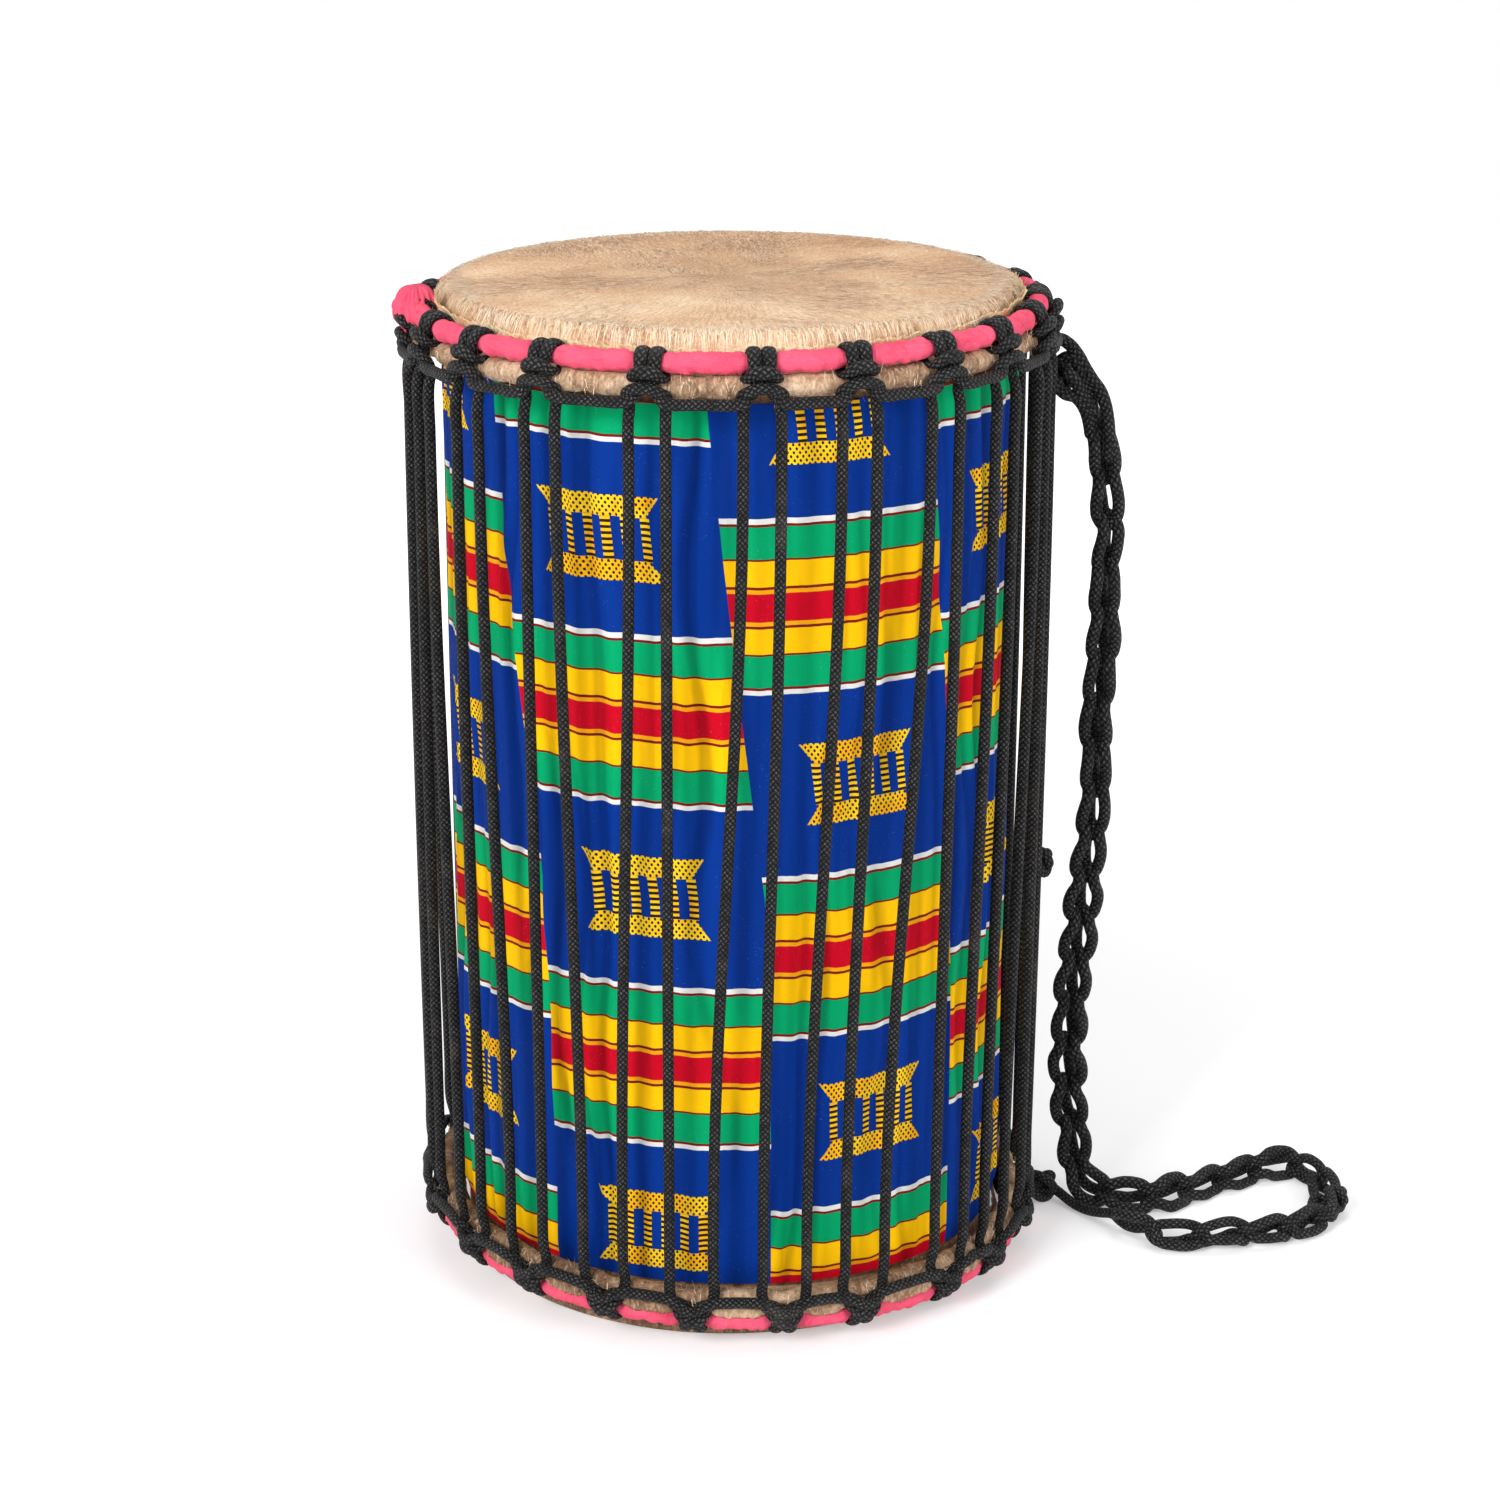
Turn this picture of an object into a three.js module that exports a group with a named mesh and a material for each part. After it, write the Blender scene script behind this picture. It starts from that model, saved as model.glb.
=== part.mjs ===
// A rope-tuned dunun: a two-headed log drum with a printed cloth over its shell.
// Millimetres, +Z up. The drum stands on its lower skin, whose face is z = 0.
// Angles run round the drum from the front, -Y, towards +X.
// A depth is measured from the outer face of the nearer skin towards the middle of the drum.

import * as THREE from 'three';

// Driving dimensions of the shell
const HEIGHT = 463;
const SHELL_RADIUS = 125.6;
const SHELL_WALL = 14;
const EDGE_ROUND = 2;
const EDGE_BEVEL = 7;

// The skins and the iron rings that hold them
const HIDE = 1.1;
const CROWN_SPACE = 0.6;
const CROWN_BAR = 6;
const WRAP_CLOTH = 0.8;
const FLESH_BAR = 5;
const FLESH_INSET = 0.8;
const RING_SPACE = 2.3;
const FLAP_RISE = 8;
const TOP_CROWN_DEPTH = 11.3;
const BOTTOM_CROWN_DEPTH = 15;
const TOP_LEAN = THREE.MathUtils.degToRad(0.5);
const BOTTOM_LEAN = THREE.MathUtils.degToRad(-2);

// The ropes. A tightened knot is given by the ring that its rope winds about.
const ROPE = 5;
const STRAND_SPACE = 0.5;
const HITCH_SPACE = 41.4;
const KNOT_RADIUS = 4.4;
const KNOT_ROPE = 3.2;
const SPLICE_HEIGHT = 183;
const CHAIN = 14;

// The loose end of the cloth that is wound round the upper crown ring
const WRAP_TAIL_HEIGHT = 7.5;
const WRAP_TAIL_WIDTH = 13;
const WRAP_TAIL_FOLD = 3;

// The printed cloth
const CLOTH = 0.8;
const CLOTH_SLACK = 1.5;
const FOLD_DEPTH = 1.8;
const HEM = 9;

// The clearance between neighbours that touch on the real drum
const SEAT = 0.3;

// Counts
const FOLDS = 30;
const FOLD_SIDES = 2 * FOLDS;
const ROPE_SIDES = 5;
const CHAIN_SIDES = 8;
const KNOT_STEPS = 20;
const KNOT_LOBES = 3;
const KNOT_TURNS = 2;

// How far apart along a rope two points lie before their gap counts, as a share of its diameter
const BEND_REACH_SHARE = 2.2;

// How far each hitch strays from its even place, as shares of the pitch between hitches.
// The first is at the front; they were tied by hand, so no two spaces are alike.
const TOP_WANDER_SHARES = [
    0.13, 0.1, 0.1, 0.04, 0.03, -0.02, 0.03, 0.05, -0.03, 0.02, 0,
    -0.02, 0.03, -0.04, 0, 0.02, -0.06, -0.11, -0.14, -0.13, 0.02,
];
const BOTTOM_WANDER_SHARES = [
    -0.01, -0.13, -0.01, -0.16, -0.08, -0.03, 0.04, 0, -0.02, 0.03, 0.02,
    -0.03, 0.02, 0.04, 0, -0.02, 0.05, 0.13, 0.1, 0.06, 0.02,
];
const TOP_FIRST_SHARE = 0.187;
const BOTTOM_FIRST_SHARE = 0.589;

// Hitches by their number: where the lacing starts and ends, where the carrying chain hangs
// from, and the one before the loose end of the ring's cloth.
const LACING_HITCH = 4;
const CHAIN_HITCH = 5;
const WRAP_TAIL_HITCH = 15;

// The carrying chain hangs down the drum's right side, runs out over the ground and turns back.
const CHAIN_ROUTE = [
    [156, 3, 411], [156.6, 3.2, 400], [162, 5.5, 385], [168.5, 7, 369], [172.5, 7.5, 350], [174, 8, 325],
    [174.5, 9, 291], [173, 10.5, 250], [173.5, 12, 210], [171.5, 13, 185], [169, 14.5, 148],
    [166, 16, 106], [166, 16.5, 75], [167, 17, 52],
    [169.5, 17.5, 33], [171.5, 16.5, 19], [177.5, 12.5, 9], [187, 7.6, 7.1], [198, 3.4, 7.1],
    [210, 4.4, 7.1], [226, 13, 7.1], [242, 23.5, 7.1], [258, 32.6, 7.1], [274.5, 41, 7.1],
    [287, 41, 7.1], [294, 26, 7.1], [293, 0, 7.1], [285, -20, 7.1], [266, -31, 7.1],
    [248, -35.5, 7.1], [230, -38.5, 7.1], [213, -39, 7.1], [200, -33, 7.1], [192.5, -25.5, 7.1],
    [188.5, -18.6, 7.1],
];

// Its last stretch is the plain rope, which is knotted to the lower ring.
const TAIL_ROUTE = [
    [188.2, -18.1, 7.1], [186.3, -14.8, 6.9], [182, -9.5, 4.8], [176, -3, 3], [169, 5.5, 3],
    [162.8, 13, 5.3],
];

// Sizes that follow from the ones above
const ropeRadius = ROPE / 2;
const wrapRadius = CROWN_BAR / 2 + SEAT + WRAP_CLOTH;
const rollRadius = FLESH_BAR / 2 + SEAT + HIDE;
const rollDrop = wrapRadius + RING_SPACE + rollRadius;
const skirtInside = SHELL_RADIUS + SEAT;
const skirtOutside = skirtInside + HIDE;
const flapInside = skirtOutside + SEAT;
const flapOutside = flapInside + HIDE;
const clothRadius = SHELL_RADIUS + SEAT + CLOTH_SLACK + FOLD_DEPTH + CLOTH;
const shellEnd = HIDE + SEAT;
const edgeDepth = shellEnd + EDGE_ROUND;

// How near the flats of a rope lie to its middle, as a share of its edges' distance
const ropeFlatShare = Math.cos(Math.PI / ROPE_SIDES);

// How the ropes lie about the crown ring: half the space between two strands side by side, the
// distance of a strand that lies on the ring from the middle of its bar, the depth below it where
// a strand passes under, and the depth of the far side of the roll of skin.
const strand = (ROPE + STRAND_SPACE) / 2;
const over = wrapRadius + SEAT + ropeRadius;
const pass = wrapRadius + RING_SPACE / 2;
const low = rollDrop + rollRadius;

// The iron rings' own radii: the ring rope runs behind the crown ring, clear of the trimmed skin.
const crownRadius = flapOutside + CROWN_SPACE + ropeRadius + over;
const fleshRadius = crownRadius - FLESH_INSET;

// A hitch about every hitch space round the crown ring
const hitches = Math.round(2 * Math.PI * crownRadius / HITCH_SPACE);
const pitch = 2 * Math.PI / hitches;
const ringSides = 2 * hitches;

// One end of the drum: where its skin's face is, which way is inward, and how its rings sit.
const topEnd = {
    name: 'top',
    face: HEIGHT,
    inward: -1,
    crownDepth: TOP_CROWN_DEPTH,
    slope: Math.tan(TOP_LEAN),
    firstShare: TOP_FIRST_SHARE,
    wanderShares: TOP_WANDER_SHARES,
};
const bottomEnd = {
    name: 'bottom',
    face: 0,
    inward: 1,
    crownDepth: BOTTOM_CROWN_DEPTH,
    slope: Math.tan(BOTTOM_LEAN),
    firstShare: BOTTOM_FIRST_SHARE,
    wanderShares: BOTTOM_WANDER_SHARES,
};
const level = { face: 0, inward: 1, slope: 0 };

// Finishes
const finishes = {
    wood: new THREE.MeshStandardMaterial({ color: 0x8a5a34, roughness: 0.7, metalness: 0 }),
    print: new THREE.MeshStandardMaterial({ color: 0x0c2d8c, roughness: 0.85, metalness: 0 }),
    hide: new THREE.MeshStandardMaterial({ color: 0xc8a578, roughness: 0.8, metalness: 0 }),
    iron: new THREE.MeshStandardMaterial({ color: 0x55504c, roughness: 0.55, metalness: 0.9 }),
    pink: new THREE.MeshStandardMaterial({ color: 0xf84c76, roughness: 0.9, metalness: 0 }),
    rope: new THREE.MeshStandardMaterial({ color: 0x2b2b2d, roughness: 0.75, metalness: 0 }),
};

// The angle of a hitch. One past the last is the first again, a turn further on.
function hitchAngle(end, index) {
    const shares = end.wanderShares;
    return (end.firstShare + index + shares[index % hitches % shares.length]) * pitch;
}

// A point on the drum from its angle, radius and depth. The rings of an end lean as one.
function onDrum(end, angle, radius, depth, leanShare = 1) {
    const x = radius * Math.sin(angle);
    const lift = end.slope * x * leanShare;
    return new THREE.Vector3(x, -radius * Math.cos(angle), end.face + end.inward * depth + lift);
}

// The share of the ring's lean that a skin has at a depth: none at the bearing edge.
function skinLeanShare(end, depth) {
    return THREE.MathUtils.clamp((depth - edgeDepth) / (end.crownDepth - edgeDepth), 0, 1);
}

// Points of an arc about a centre in the plane of radius and depth, from one angle to another.
function arc(centre, radius, from, to, steps) {
    const points = [];
    for (let i = 0; i <= steps; i += 1) {
        const angle = THREE.MathUtils.degToRad(THREE.MathUtils.lerp(from, to, i / steps));
        points.push([centre[0] + radius * Math.cos(angle), centre[1] + radius * Math.sin(angle)]);
    }
    return points;
}

// A lathe turned from an outline of [radius, depth], whose points are then set round the drum by
// a function of the angle, the outline's point and the number of the side.
function lathe(outline, sides, placed) {
    const profile = outline.map(([radius, depth]) => new THREE.Vector2(radius, depth));
    const geometry = new THREE.LatheGeometry(profile, sides);
    const position = geometry.attributes.position;
    for (let i = 0; i < position.count; i += 1) {
        const side = Math.floor(i / outline.length) % sides;
        const point = placed(2 * Math.PI * side / sides, outline[i % outline.length], side);
        position.setXYZ(i, point.x, point.y, point.z);
    }
    return geometry;
}

// A solid of revolution that leans with the rings of its end. Its outline starts and ends on the
// axis, or closes on itself.
function turned(end, outline, leanShareAt = () => 1) {
    const loop = outline[0][0] === 0 ? outline : [...outline, outline[0]];
    const ordered = end.inward > 0 ? loop : loop.toReversed();
    return lathe(ordered, ringSides, (angle, [radius, depth]) => (
        onDrum(end, angle, radius, depth, leanShareAt(depth))
    ));
}

// A rope's line, whose sections fall on its own points.
class RopeLine extends THREE.CatmullRomCurve3 {
    getUtoTmapping(u) {
        return u;
    }
}

// A rope along a list of places. Each has a point and the share of the full thickness there,
// because a rope is squeezed where it is pinched or crosses another.
function rope(places, { closed = false, diameter = ROPE, sides = ROPE_SIDES } = {}) {
    const line = new RopeLine(places.map((place) => place.point), closed, 'centripetal');
    const steps = closed ? places.length : places.length - 1;
    const { normals, binormals } = line.computeFrenetFrames(steps, closed);
    const vertices = [];
    const faces = [];
    places.forEach(({ point, thicknessShare = 1 }, i) => {
        const radius = diameter / 2 * thicknessShare;
        for (let side = 0; side < sides; side += 1) {
            const angle = 2 * Math.PI * side / sides;
            const vertex = point.clone();
            vertex.addScaledVector(normals[i], radius * Math.cos(angle));
            vertex.addScaledVector(binormals[i], radius * Math.sin(angle));
            vertices.push(...vertex.toArray());
        }
    });
    for (let i = 0; i < steps; i += 1) {
        const here = i * sides;
        const next = (i + 1) % places.length * sides;
        for (let side = 0; side < sides; side += 1) {
            const other = (side + 1) % sides;
            faces.push(here + side, here + other, next + other);
            faces.push(here + side, next + other, next + side);
        }
    }
    if (!closed) {
        const last = steps * sides;
        for (let side = 1; side < sides - 1; side += 1) {
            faces.push(0, side + 1, side);
            faces.push(last, last + side, last + side + 1);
        }
    }
    const geometry = new THREE.BufferGeometry();
    geometry.setAttribute('position', new THREE.Float32BufferAttribute(vertices, 3));
    geometry.setIndex(faces);
    geometry.computeVertexNormals();
    return geometry;
}

// Points along a rope, no further apart than its radius, with their distance along it.
function ropeSamples(places, closed, diameter) {
    const samples = [];
    const steps = closed ? places.length : places.length - 1;
    let start = 0;
    for (let i = 0; i < steps; i += 1) {
        const here = places[i];
        const next = places[(i + 1) % places.length];
        const length = here.point.distanceTo(next.point);
        const parts = Math.ceil(length / (diameter / 2));
        for (let part = 0; part < parts; part += 1) {
            const share = part / parts;
            const shares = [here.thicknessShare ?? 1, next.thicknessShare ?? 1];
            samples.push({
                point: here.point.clone().lerp(next.point, share),
                radius: diameter / 2 * THREE.MathUtils.lerp(...shares, share),
                along: start + length * share,
            });
        }
        start += length;
    }
    return { samples, length: start };
}

// Prints the least gap between a rope and itself, past the stretch that bends about a point.
function printLeastGap(name, places, { closed = false, diameter = ROPE } = {}) {
    const { samples, length } = ropeSamples(places, closed, diameter);
    const apart = BEND_REACH_SHARE * diameter;
    let least = Infinity;
    samples.forEach((one, i) => {
        for (let j = i + 1; j < samples.length; j += 1) {
            const other = samples[j];
            const along = other.along - one.along;
            const between = closed ? Math.min(along, length - along) : along;
            if (between < apart) continue;
            const gap = one.point.distanceTo(other.point) - one.radius - other.radius;
            least = Math.min(least, gap);
        }
    });
    console.log(`${name}: least gap to itself ${least.toFixed(2)} mm, length ${length.toFixed(0)} mm`);
}

// The shell: a hollowed log with a rounded, inward-bevelled bearing edge at each end.
function shell() {
    const bore = SHELL_RADIUS - SHELL_WALL;
    const lip = bore + EDGE_BEVEL;
    const round = SHELL_RADIUS - EDGE_ROUND;
    const top = HEIGHT - shellEnd;
    const outline = [
        [bore, shellEnd + EDGE_BEVEL],
        [lip, shellEnd],
        ...arc([round, edgeDepth], EDGE_ROUND, -90, 0, 1),
        ...arc([round, top - EDGE_ROUND], EDGE_ROUND, 0, 90, 1),
        [lip, top],
        [bore, top - EDGE_BEVEL],
    ];
    return turned(level, outline);
}

// The cloth cover: a printed wrapper in shallow upright folds between the two rolls of skin,
// drawn in to the shell at its hems.
function clothCover() {
    const lean = (end) => Math.abs(end.slope) * (fleshRadius + rollRadius);
    const rollEnd = (end) => end.crownDepth + low + lean(end) + SEAT;
    const foot = rollEnd(bottomEnd);
    const head = HEIGHT - rollEnd(topEnd);
    const tight = SHELL_RADIUS + SEAT;
    const full = clothRadius - CLOTH - FOLD_DEPTH / 2;
    const outline = [
        [tight + CLOTH, foot],
        [full + CLOTH, foot + HEM],
        [full + CLOTH, head - HEM],
        [tight + CLOTH, head],
        [tight, head],
        [full, head - HEM],
        [full, foot + HEM],
        [tight, foot],
        [tight + CLOTH, foot],
    ];
    return lathe(outline, FOLD_SIDES, (angle, [radius, z], side) => {
        const hem = z === foot || z === head;
        const wave = side % 2 === 0 ? FOLD_DEPTH / 2 : -FOLD_DEPTH / 2;
        return onDrum(level, angle, radius + (hem ? 0 : wave), z);
    });
}

// A skin: the head, its bend over the bearing edge, the skirt down the shell, the turn round the
// flesh ring, and the trimmed flap that comes back between the skirt and the crown ring.
function skin(end) {
    const edge = [SHELL_RADIUS - EDGE_ROUND, edgeDepth];
    const roll = [fleshRadius, end.crownDepth + rollDrop];
    const rollTop = roll[1] - rollRadius;
    const leave = roll[1] - HIDE - SEAT;
    const flapEnd = Math.max(end.crownDepth - FLAP_RISE, edgeDepth);
    const outline = [
        [0, 0],
        ...arc(edge, edgeDepth, -90, 0, 2),
        [skirtOutside, leave],
        ...arc(roll, rollRadius - HIDE, 90, -90, 4),
        [flapInside, rollTop + HIDE],
        [flapInside, flapEnd],
        [flapOutside, flapEnd],
        [flapOutside, rollTop],
        ...arc(roll, rollRadius, -90, 90, 4),
        [skirtInside, leave],
        ...arc(edge, EDGE_ROUND + SEAT, 0, -90, 1),
        [0, HIDE],
    ];
    return turned(end, outline, (depth) => skinLeanShare(end, depth));
}

// The bar of an iron ring, with an edge to each side.
function ringBar(end, radius, depth, bar) {
    return turned(end, arc([radius, depth], bar / 2, 0, 270, 3));
}

// The cloth wound round a crown ring. The edge of its last turn is a seam towards the shell.
function ringWrap(end) {
    const centre = [crownRadius, end.crownDepth];
    const inner = wrapRadius - WRAP_CLOTH;
    const seam = THREE.MathUtils.radToDeg(SEAT / inner);
    const outside = arc(centre, wrapRadius, -180 + seam, 180 - seam, 5);
    const inside = arc(centre, inner, 180 - seam, -180 + seam, 4);
    return turned(end, [...outside, ...inside]);
}

// The loose end of that cloth: a doubled tongue that stands up from the ring between two hitches.
function wrapTail(end) {
    const outline = new THREE.Shape();
    const half = WRAP_TAIL_FOLD / 2;
    const inset = half - WRAP_CLOTH;
    outline.moveTo(-half, 0);
    outline.lineTo(-inset, 0);
    outline.lineTo(-inset, WRAP_TAIL_HEIGHT - half);
    outline.absarc(0, WRAP_TAIL_HEIGHT - half, inset, Math.PI, 0, true);
    outline.lineTo(inset, 0);
    outline.lineTo(half, 0);
    outline.lineTo(half, WRAP_TAIL_HEIGHT - half);
    outline.absarc(0, WRAP_TAIL_HEIGHT - half, half, 0, Math.PI, false);
    const options = { depth: WRAP_TAIL_WIDTH, bevelEnabled: false, curveSegments: 3 };
    const geometry = new THREE.ExtrudeGeometry(outline, options);
    geometry.translate(0, 0, -WRAP_TAIL_WIDTH / 2);
    geometry.rotateX(Math.PI / 2);
    const angle = (hitchAngle(end, WRAP_TAIL_HITCH) + hitchAngle(end, WRAP_TAIL_HITCH + 1)) / 2;
    geometry.rotateZ(angle - Math.PI / 2);
    const foot = onDrum(end, angle, crownRadius, end.crownDepth - wrapRadius - SEAT);
    geometry.translate(foot.x, foot.y, foot.z);
    return geometry;
}

// Half of a hitch of the ring rope on the crown ring. It comes in from the hitch beside it, goes
// up the front, over, down behind, under, and out to the middle of the bar across the front.
// A place is its distance along the ring from the middle of the hitch, its distance outward and
// its height towards the head from the middle of the ring's bar, and its share of the thickness.
function ringRopeHalf() {
    const pinchShare = (RING_SPACE / 2 - SEAT) / ropeRadius;
    return [
        [2.2 * strand, 1.62 * over, -low - 0.8 * ropeRadius, 0.89],
        [0.88 * strand, 0.85 * over, -0.96 * rollDrop, 0.87],
        [strand, over, 0.28 * over, 0.95],
        [strand, 0.52 * over, 1.02 * over, 0.99],
        [1.16 * strand, -0.78 * over, 0.98 * over, 1],
        [1.67 * strand, -1.06 * over, -0.22 * over, 0.92],
        [2.38 * strand, -0.37 * over, -pass, pinchShare],
        [2.8 * strand, 0.76 * over, -pass, 1.3 * pinchShare],
        [2.04 * strand, 1.7 * over, -0.95 * pass, 0.98],
    ];
}

// Half of a turn of the lacing at a hitch: behind the ring rope's run to the next hitch, out over
// its shoulder, and across the front of the hitch's neck.
function lacingHalf() {
    return [
        [3.14 * strand, 0.77 * over, -low - 1.44 * ropeRadius, 0.95],
        [3.92 * strand, 1.03 * over, -pass - 1.14 * ROPE, 0.9],
        [2.25 * strand, 1.81 * over, -pass - 0.96 * ROPE, 0.88],
    ];
}

// The places of a hitch, from its left side to its right, given the right half from outside in.
function hitchPlaces(end, index, half) {
    const middle = hitchAngle(end, index);
    const placed = (side) => ([along, out, up, thicknessShare]) => {
        const angle = middle + side * along / crownRadius;
        const point = onDrum(end, angle, crownRadius + out, end.crownDepth - up);
        return { point, thicknessShare };
    };
    return [...half.map(placed(-1)), ...half.toReversed().map(placed(1))];
}

// The ring rope of one end: one endless rope, hitched round the crown ring all the way.
function ringRopePlaces(end) {
    const places = [];
    for (let index = 0; index < hitches; index += 1) {
        places.push(...hitchPlaces(end, index, ringRopeHalf()));
    }
    return places;
}

// The lacing: one rope that goes up and down between the heads, round every hitch of both.
function lacingPlaces() {
    const places = [];
    for (let turn = 1; turn <= hitches; turn += 1) {
        const index = LACING_HITCH + turn;
        places.push(...hitchPlaces(topEnd, index, lacingHalf()));
        places.push(...hitchPlaces(bottomEnd, index, lacingHalf()));
    }
    const start = hitchPlaces(bottomEnd, LACING_HITCH, lacingHalf()).at(-1);
    const end = places.length - 1;
    return [start, ...places.slice(0, end)];
}

// A point on the lacing's run down from the right side of an upper hitch, at a height.
function onLacing(index, z) {
    const top = hitchPlaces(topEnd, index, lacingHalf()).at(-1).point;
    const bottom = hitchPlaces(bottomEnd, index, lacingHalf())[0].point;
    return top.lerp(bottom, (top.z - z) / (top.z - bottom.z));
}

// A tightened knot: three lobes of rope about an axis, lying flat.
const knotTube = KNOT_ROPE / 2 + STRAND_SPACE;
const knotHeight = knotTube + KNOT_ROPE / 2 * ropeFlatShare;
const knotReach = KNOT_RADIUS + knotHeight;

function knotPlaces() {
    const places = [];
    for (let step = 0; step < KNOT_STEPS; step += 1) {
        const turn = 2 * Math.PI * step / KNOT_STEPS;
        const radius = KNOT_RADIUS + knotTube * Math.cos(KNOT_LOBES * turn);
        const point = new THREE.Vector3(
            radius * Math.cos(KNOT_TURNS * turn),
            radius * Math.sin(KNOT_TURNS * turn),
            knotTube * Math.sin(KNOT_LOBES * turn),
        );
        places.push({ point });
    }
    return places;
}

// A list of points as the places of a rope.
function along(route) {
    return route.map((point) => ({ point: new THREE.Vector3(...point) }));
}

const drum = new THREE.Group();

function add(name, geometry, finish) {
    const mesh = new THREE.Mesh(geometry, finish);
    mesh.name = name;
    drum.add(mesh);
    return mesh;
}

// A knot against the outside of the drum, with its axis pointing out and a lobe pointing down.
function addKnot(name, angle, seatRadius, z) {
    const mesh = add(name, rope(knotPlaces(), { closed: true, diameter: KNOT_ROPE }), finishes.rope);
    const down = new THREE.Vector3(0, 0, -1);
    const around = new THREE.Vector3(Math.cos(angle), Math.sin(angle), 0);
    const outward = new THREE.Vector3(Math.sin(angle), -Math.cos(angle), 0);
    const facing = new THREE.Matrix4().makeBasis(down, around, outward);
    mesh.quaternion.setFromRotationMatrix(facing);
    mesh.position.copy(outward).multiplyScalar(seatRadius + SEAT + knotHeight).setZ(z);
    return mesh;
}

add('shell', shell(), finishes.wood);
add('cloth_cover', clothCover(), finishes.print);

for (const end of [topEnd, bottomEnd]) {
    const places = ringRopePlaces(end);
    add(`${end.name}_head`, skin(end), finishes.hide);
    const fleshDepth = end.crownDepth + rollDrop;
    add(`${end.name}_flesh_ring`, ringBar(end, fleshRadius, fleshDepth, FLESH_BAR), finishes.iron);
    add(`${end.name}_crown_ring`, ringBar(end, crownRadius, end.crownDepth, CROWN_BAR), finishes.iron);
    add(`${end.name}_ring_wrap`, ringWrap(end), finishes.pink);
    add(`${end.name}_ring_rope`, rope(places, { closed: true }), finishes.rope);
    printLeastGap(`${end.name}_ring_rope`, places, { closed: true });
}
add('wrap_tail', wrapTail(topEnd), finishes.pink);

const lacing = lacingPlaces();
add('lacing_rope', rope(lacing), finishes.rope);
printLeastGap('lacing_rope', lacing);

const chain = along(CHAIN_ROUTE);
add('carry_chain', rope(chain, { diameter: CHAIN, sides: CHAIN_SIDES }), finishes.rope);
printLeastGap('carry_chain', chain, { diameter: CHAIN });
const tail = along(TAIL_ROUTE);
add('chain_tail', rope(tail, { sides: CHAIN_SIDES }), finishes.rope);
printLeastGap('chain_tail', tail);
printLeastGap('a knot', knotPlaces(), { closed: true, diameter: KNOT_ROPE });

// The knots: where the lacing was spliced, where the chain starts, and where its tail is tied.
const splice = onLacing(CHAIN_HITCH, SPLICE_HEIGHT);
const lacingOutside = splice.clone().setZ(0).length() + ropeRadius * ropeFlatShare;
const spliceAngle = Math.atan2(splice.x, -splice.y);
addKnot('splice_knot', spliceAngle, lacingOutside, SPLICE_HEIGHT);

const chainTop = onLacing(CHAIN_HITCH, CHAIN_ROUTE[0][2] + SEAT + knotReach);
addKnot('chain_top_knot', Math.atan2(chainTop.x, -chainTop.y), lacingOutside, chainTop.z);

const barOutside = crownRadius + ringRopeHalf().at(-1)[1] + ropeRadius * ropeFlatShare;
addKnot('tail_knot', hitchAngle(bottomEnd, CHAIN_HITCH), barOutside, knotReach + SEAT);

export default drum;
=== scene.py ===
"""A rope-tuned dunun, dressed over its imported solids: hides with hair, a printed cloth, hitched and laced
ropes, and a carrying chain on the ground, in a plain studio. Sizes are in metres, and angles run round the
drum from the front, -Y, towards +X."""

import logging
import math
from collections.abc import Sequence
from dataclasses import dataclass, field
from enum import Enum

import bpy
import numpy as np
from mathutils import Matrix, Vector


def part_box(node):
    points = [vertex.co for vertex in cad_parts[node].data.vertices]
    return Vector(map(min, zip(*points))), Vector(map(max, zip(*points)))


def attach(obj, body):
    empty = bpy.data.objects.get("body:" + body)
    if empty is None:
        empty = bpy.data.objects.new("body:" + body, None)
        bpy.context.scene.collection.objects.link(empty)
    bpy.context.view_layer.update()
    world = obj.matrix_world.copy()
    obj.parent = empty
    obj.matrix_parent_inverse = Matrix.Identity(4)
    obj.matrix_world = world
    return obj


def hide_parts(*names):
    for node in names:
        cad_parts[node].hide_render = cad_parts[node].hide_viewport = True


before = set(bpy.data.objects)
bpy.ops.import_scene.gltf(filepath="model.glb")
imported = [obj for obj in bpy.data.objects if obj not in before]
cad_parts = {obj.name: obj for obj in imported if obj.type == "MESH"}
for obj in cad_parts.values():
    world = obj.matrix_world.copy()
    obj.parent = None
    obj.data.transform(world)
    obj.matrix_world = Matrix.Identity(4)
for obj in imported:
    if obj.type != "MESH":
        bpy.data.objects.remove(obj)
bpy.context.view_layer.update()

logging.basicConfig(level=logging.INFO, format="%(message)s")
log = logging.getLogger("dunun")

MM = 0.001
BODY = "root"
ROPE_SIDES = 12
ROPE_TIP = 0.0004
NOISE_WAVES = 9
NOISE_DRIFT = 1.6
HAIR_MIDDLE = 0.55
HAIR_TAPER = (1.0, 0.8, 0.15)

Colour = tuple[float, float, float]


# Numbers and shapes


def smoothstep(low: float, high: float, value: np.ndarray) -> np.ndarray:
    """Rises smoothly from 0 at low to 1 at high.

    Args:
        low: Where the rise starts.
        high: Where it ends.
        value: The values to map.

    Returns:
        Shares from 0 to 1.
    """
    share = np.clip((value - low) / (high - low), 0, 1)
    return share * share * (3 - 2 * share)


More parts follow.
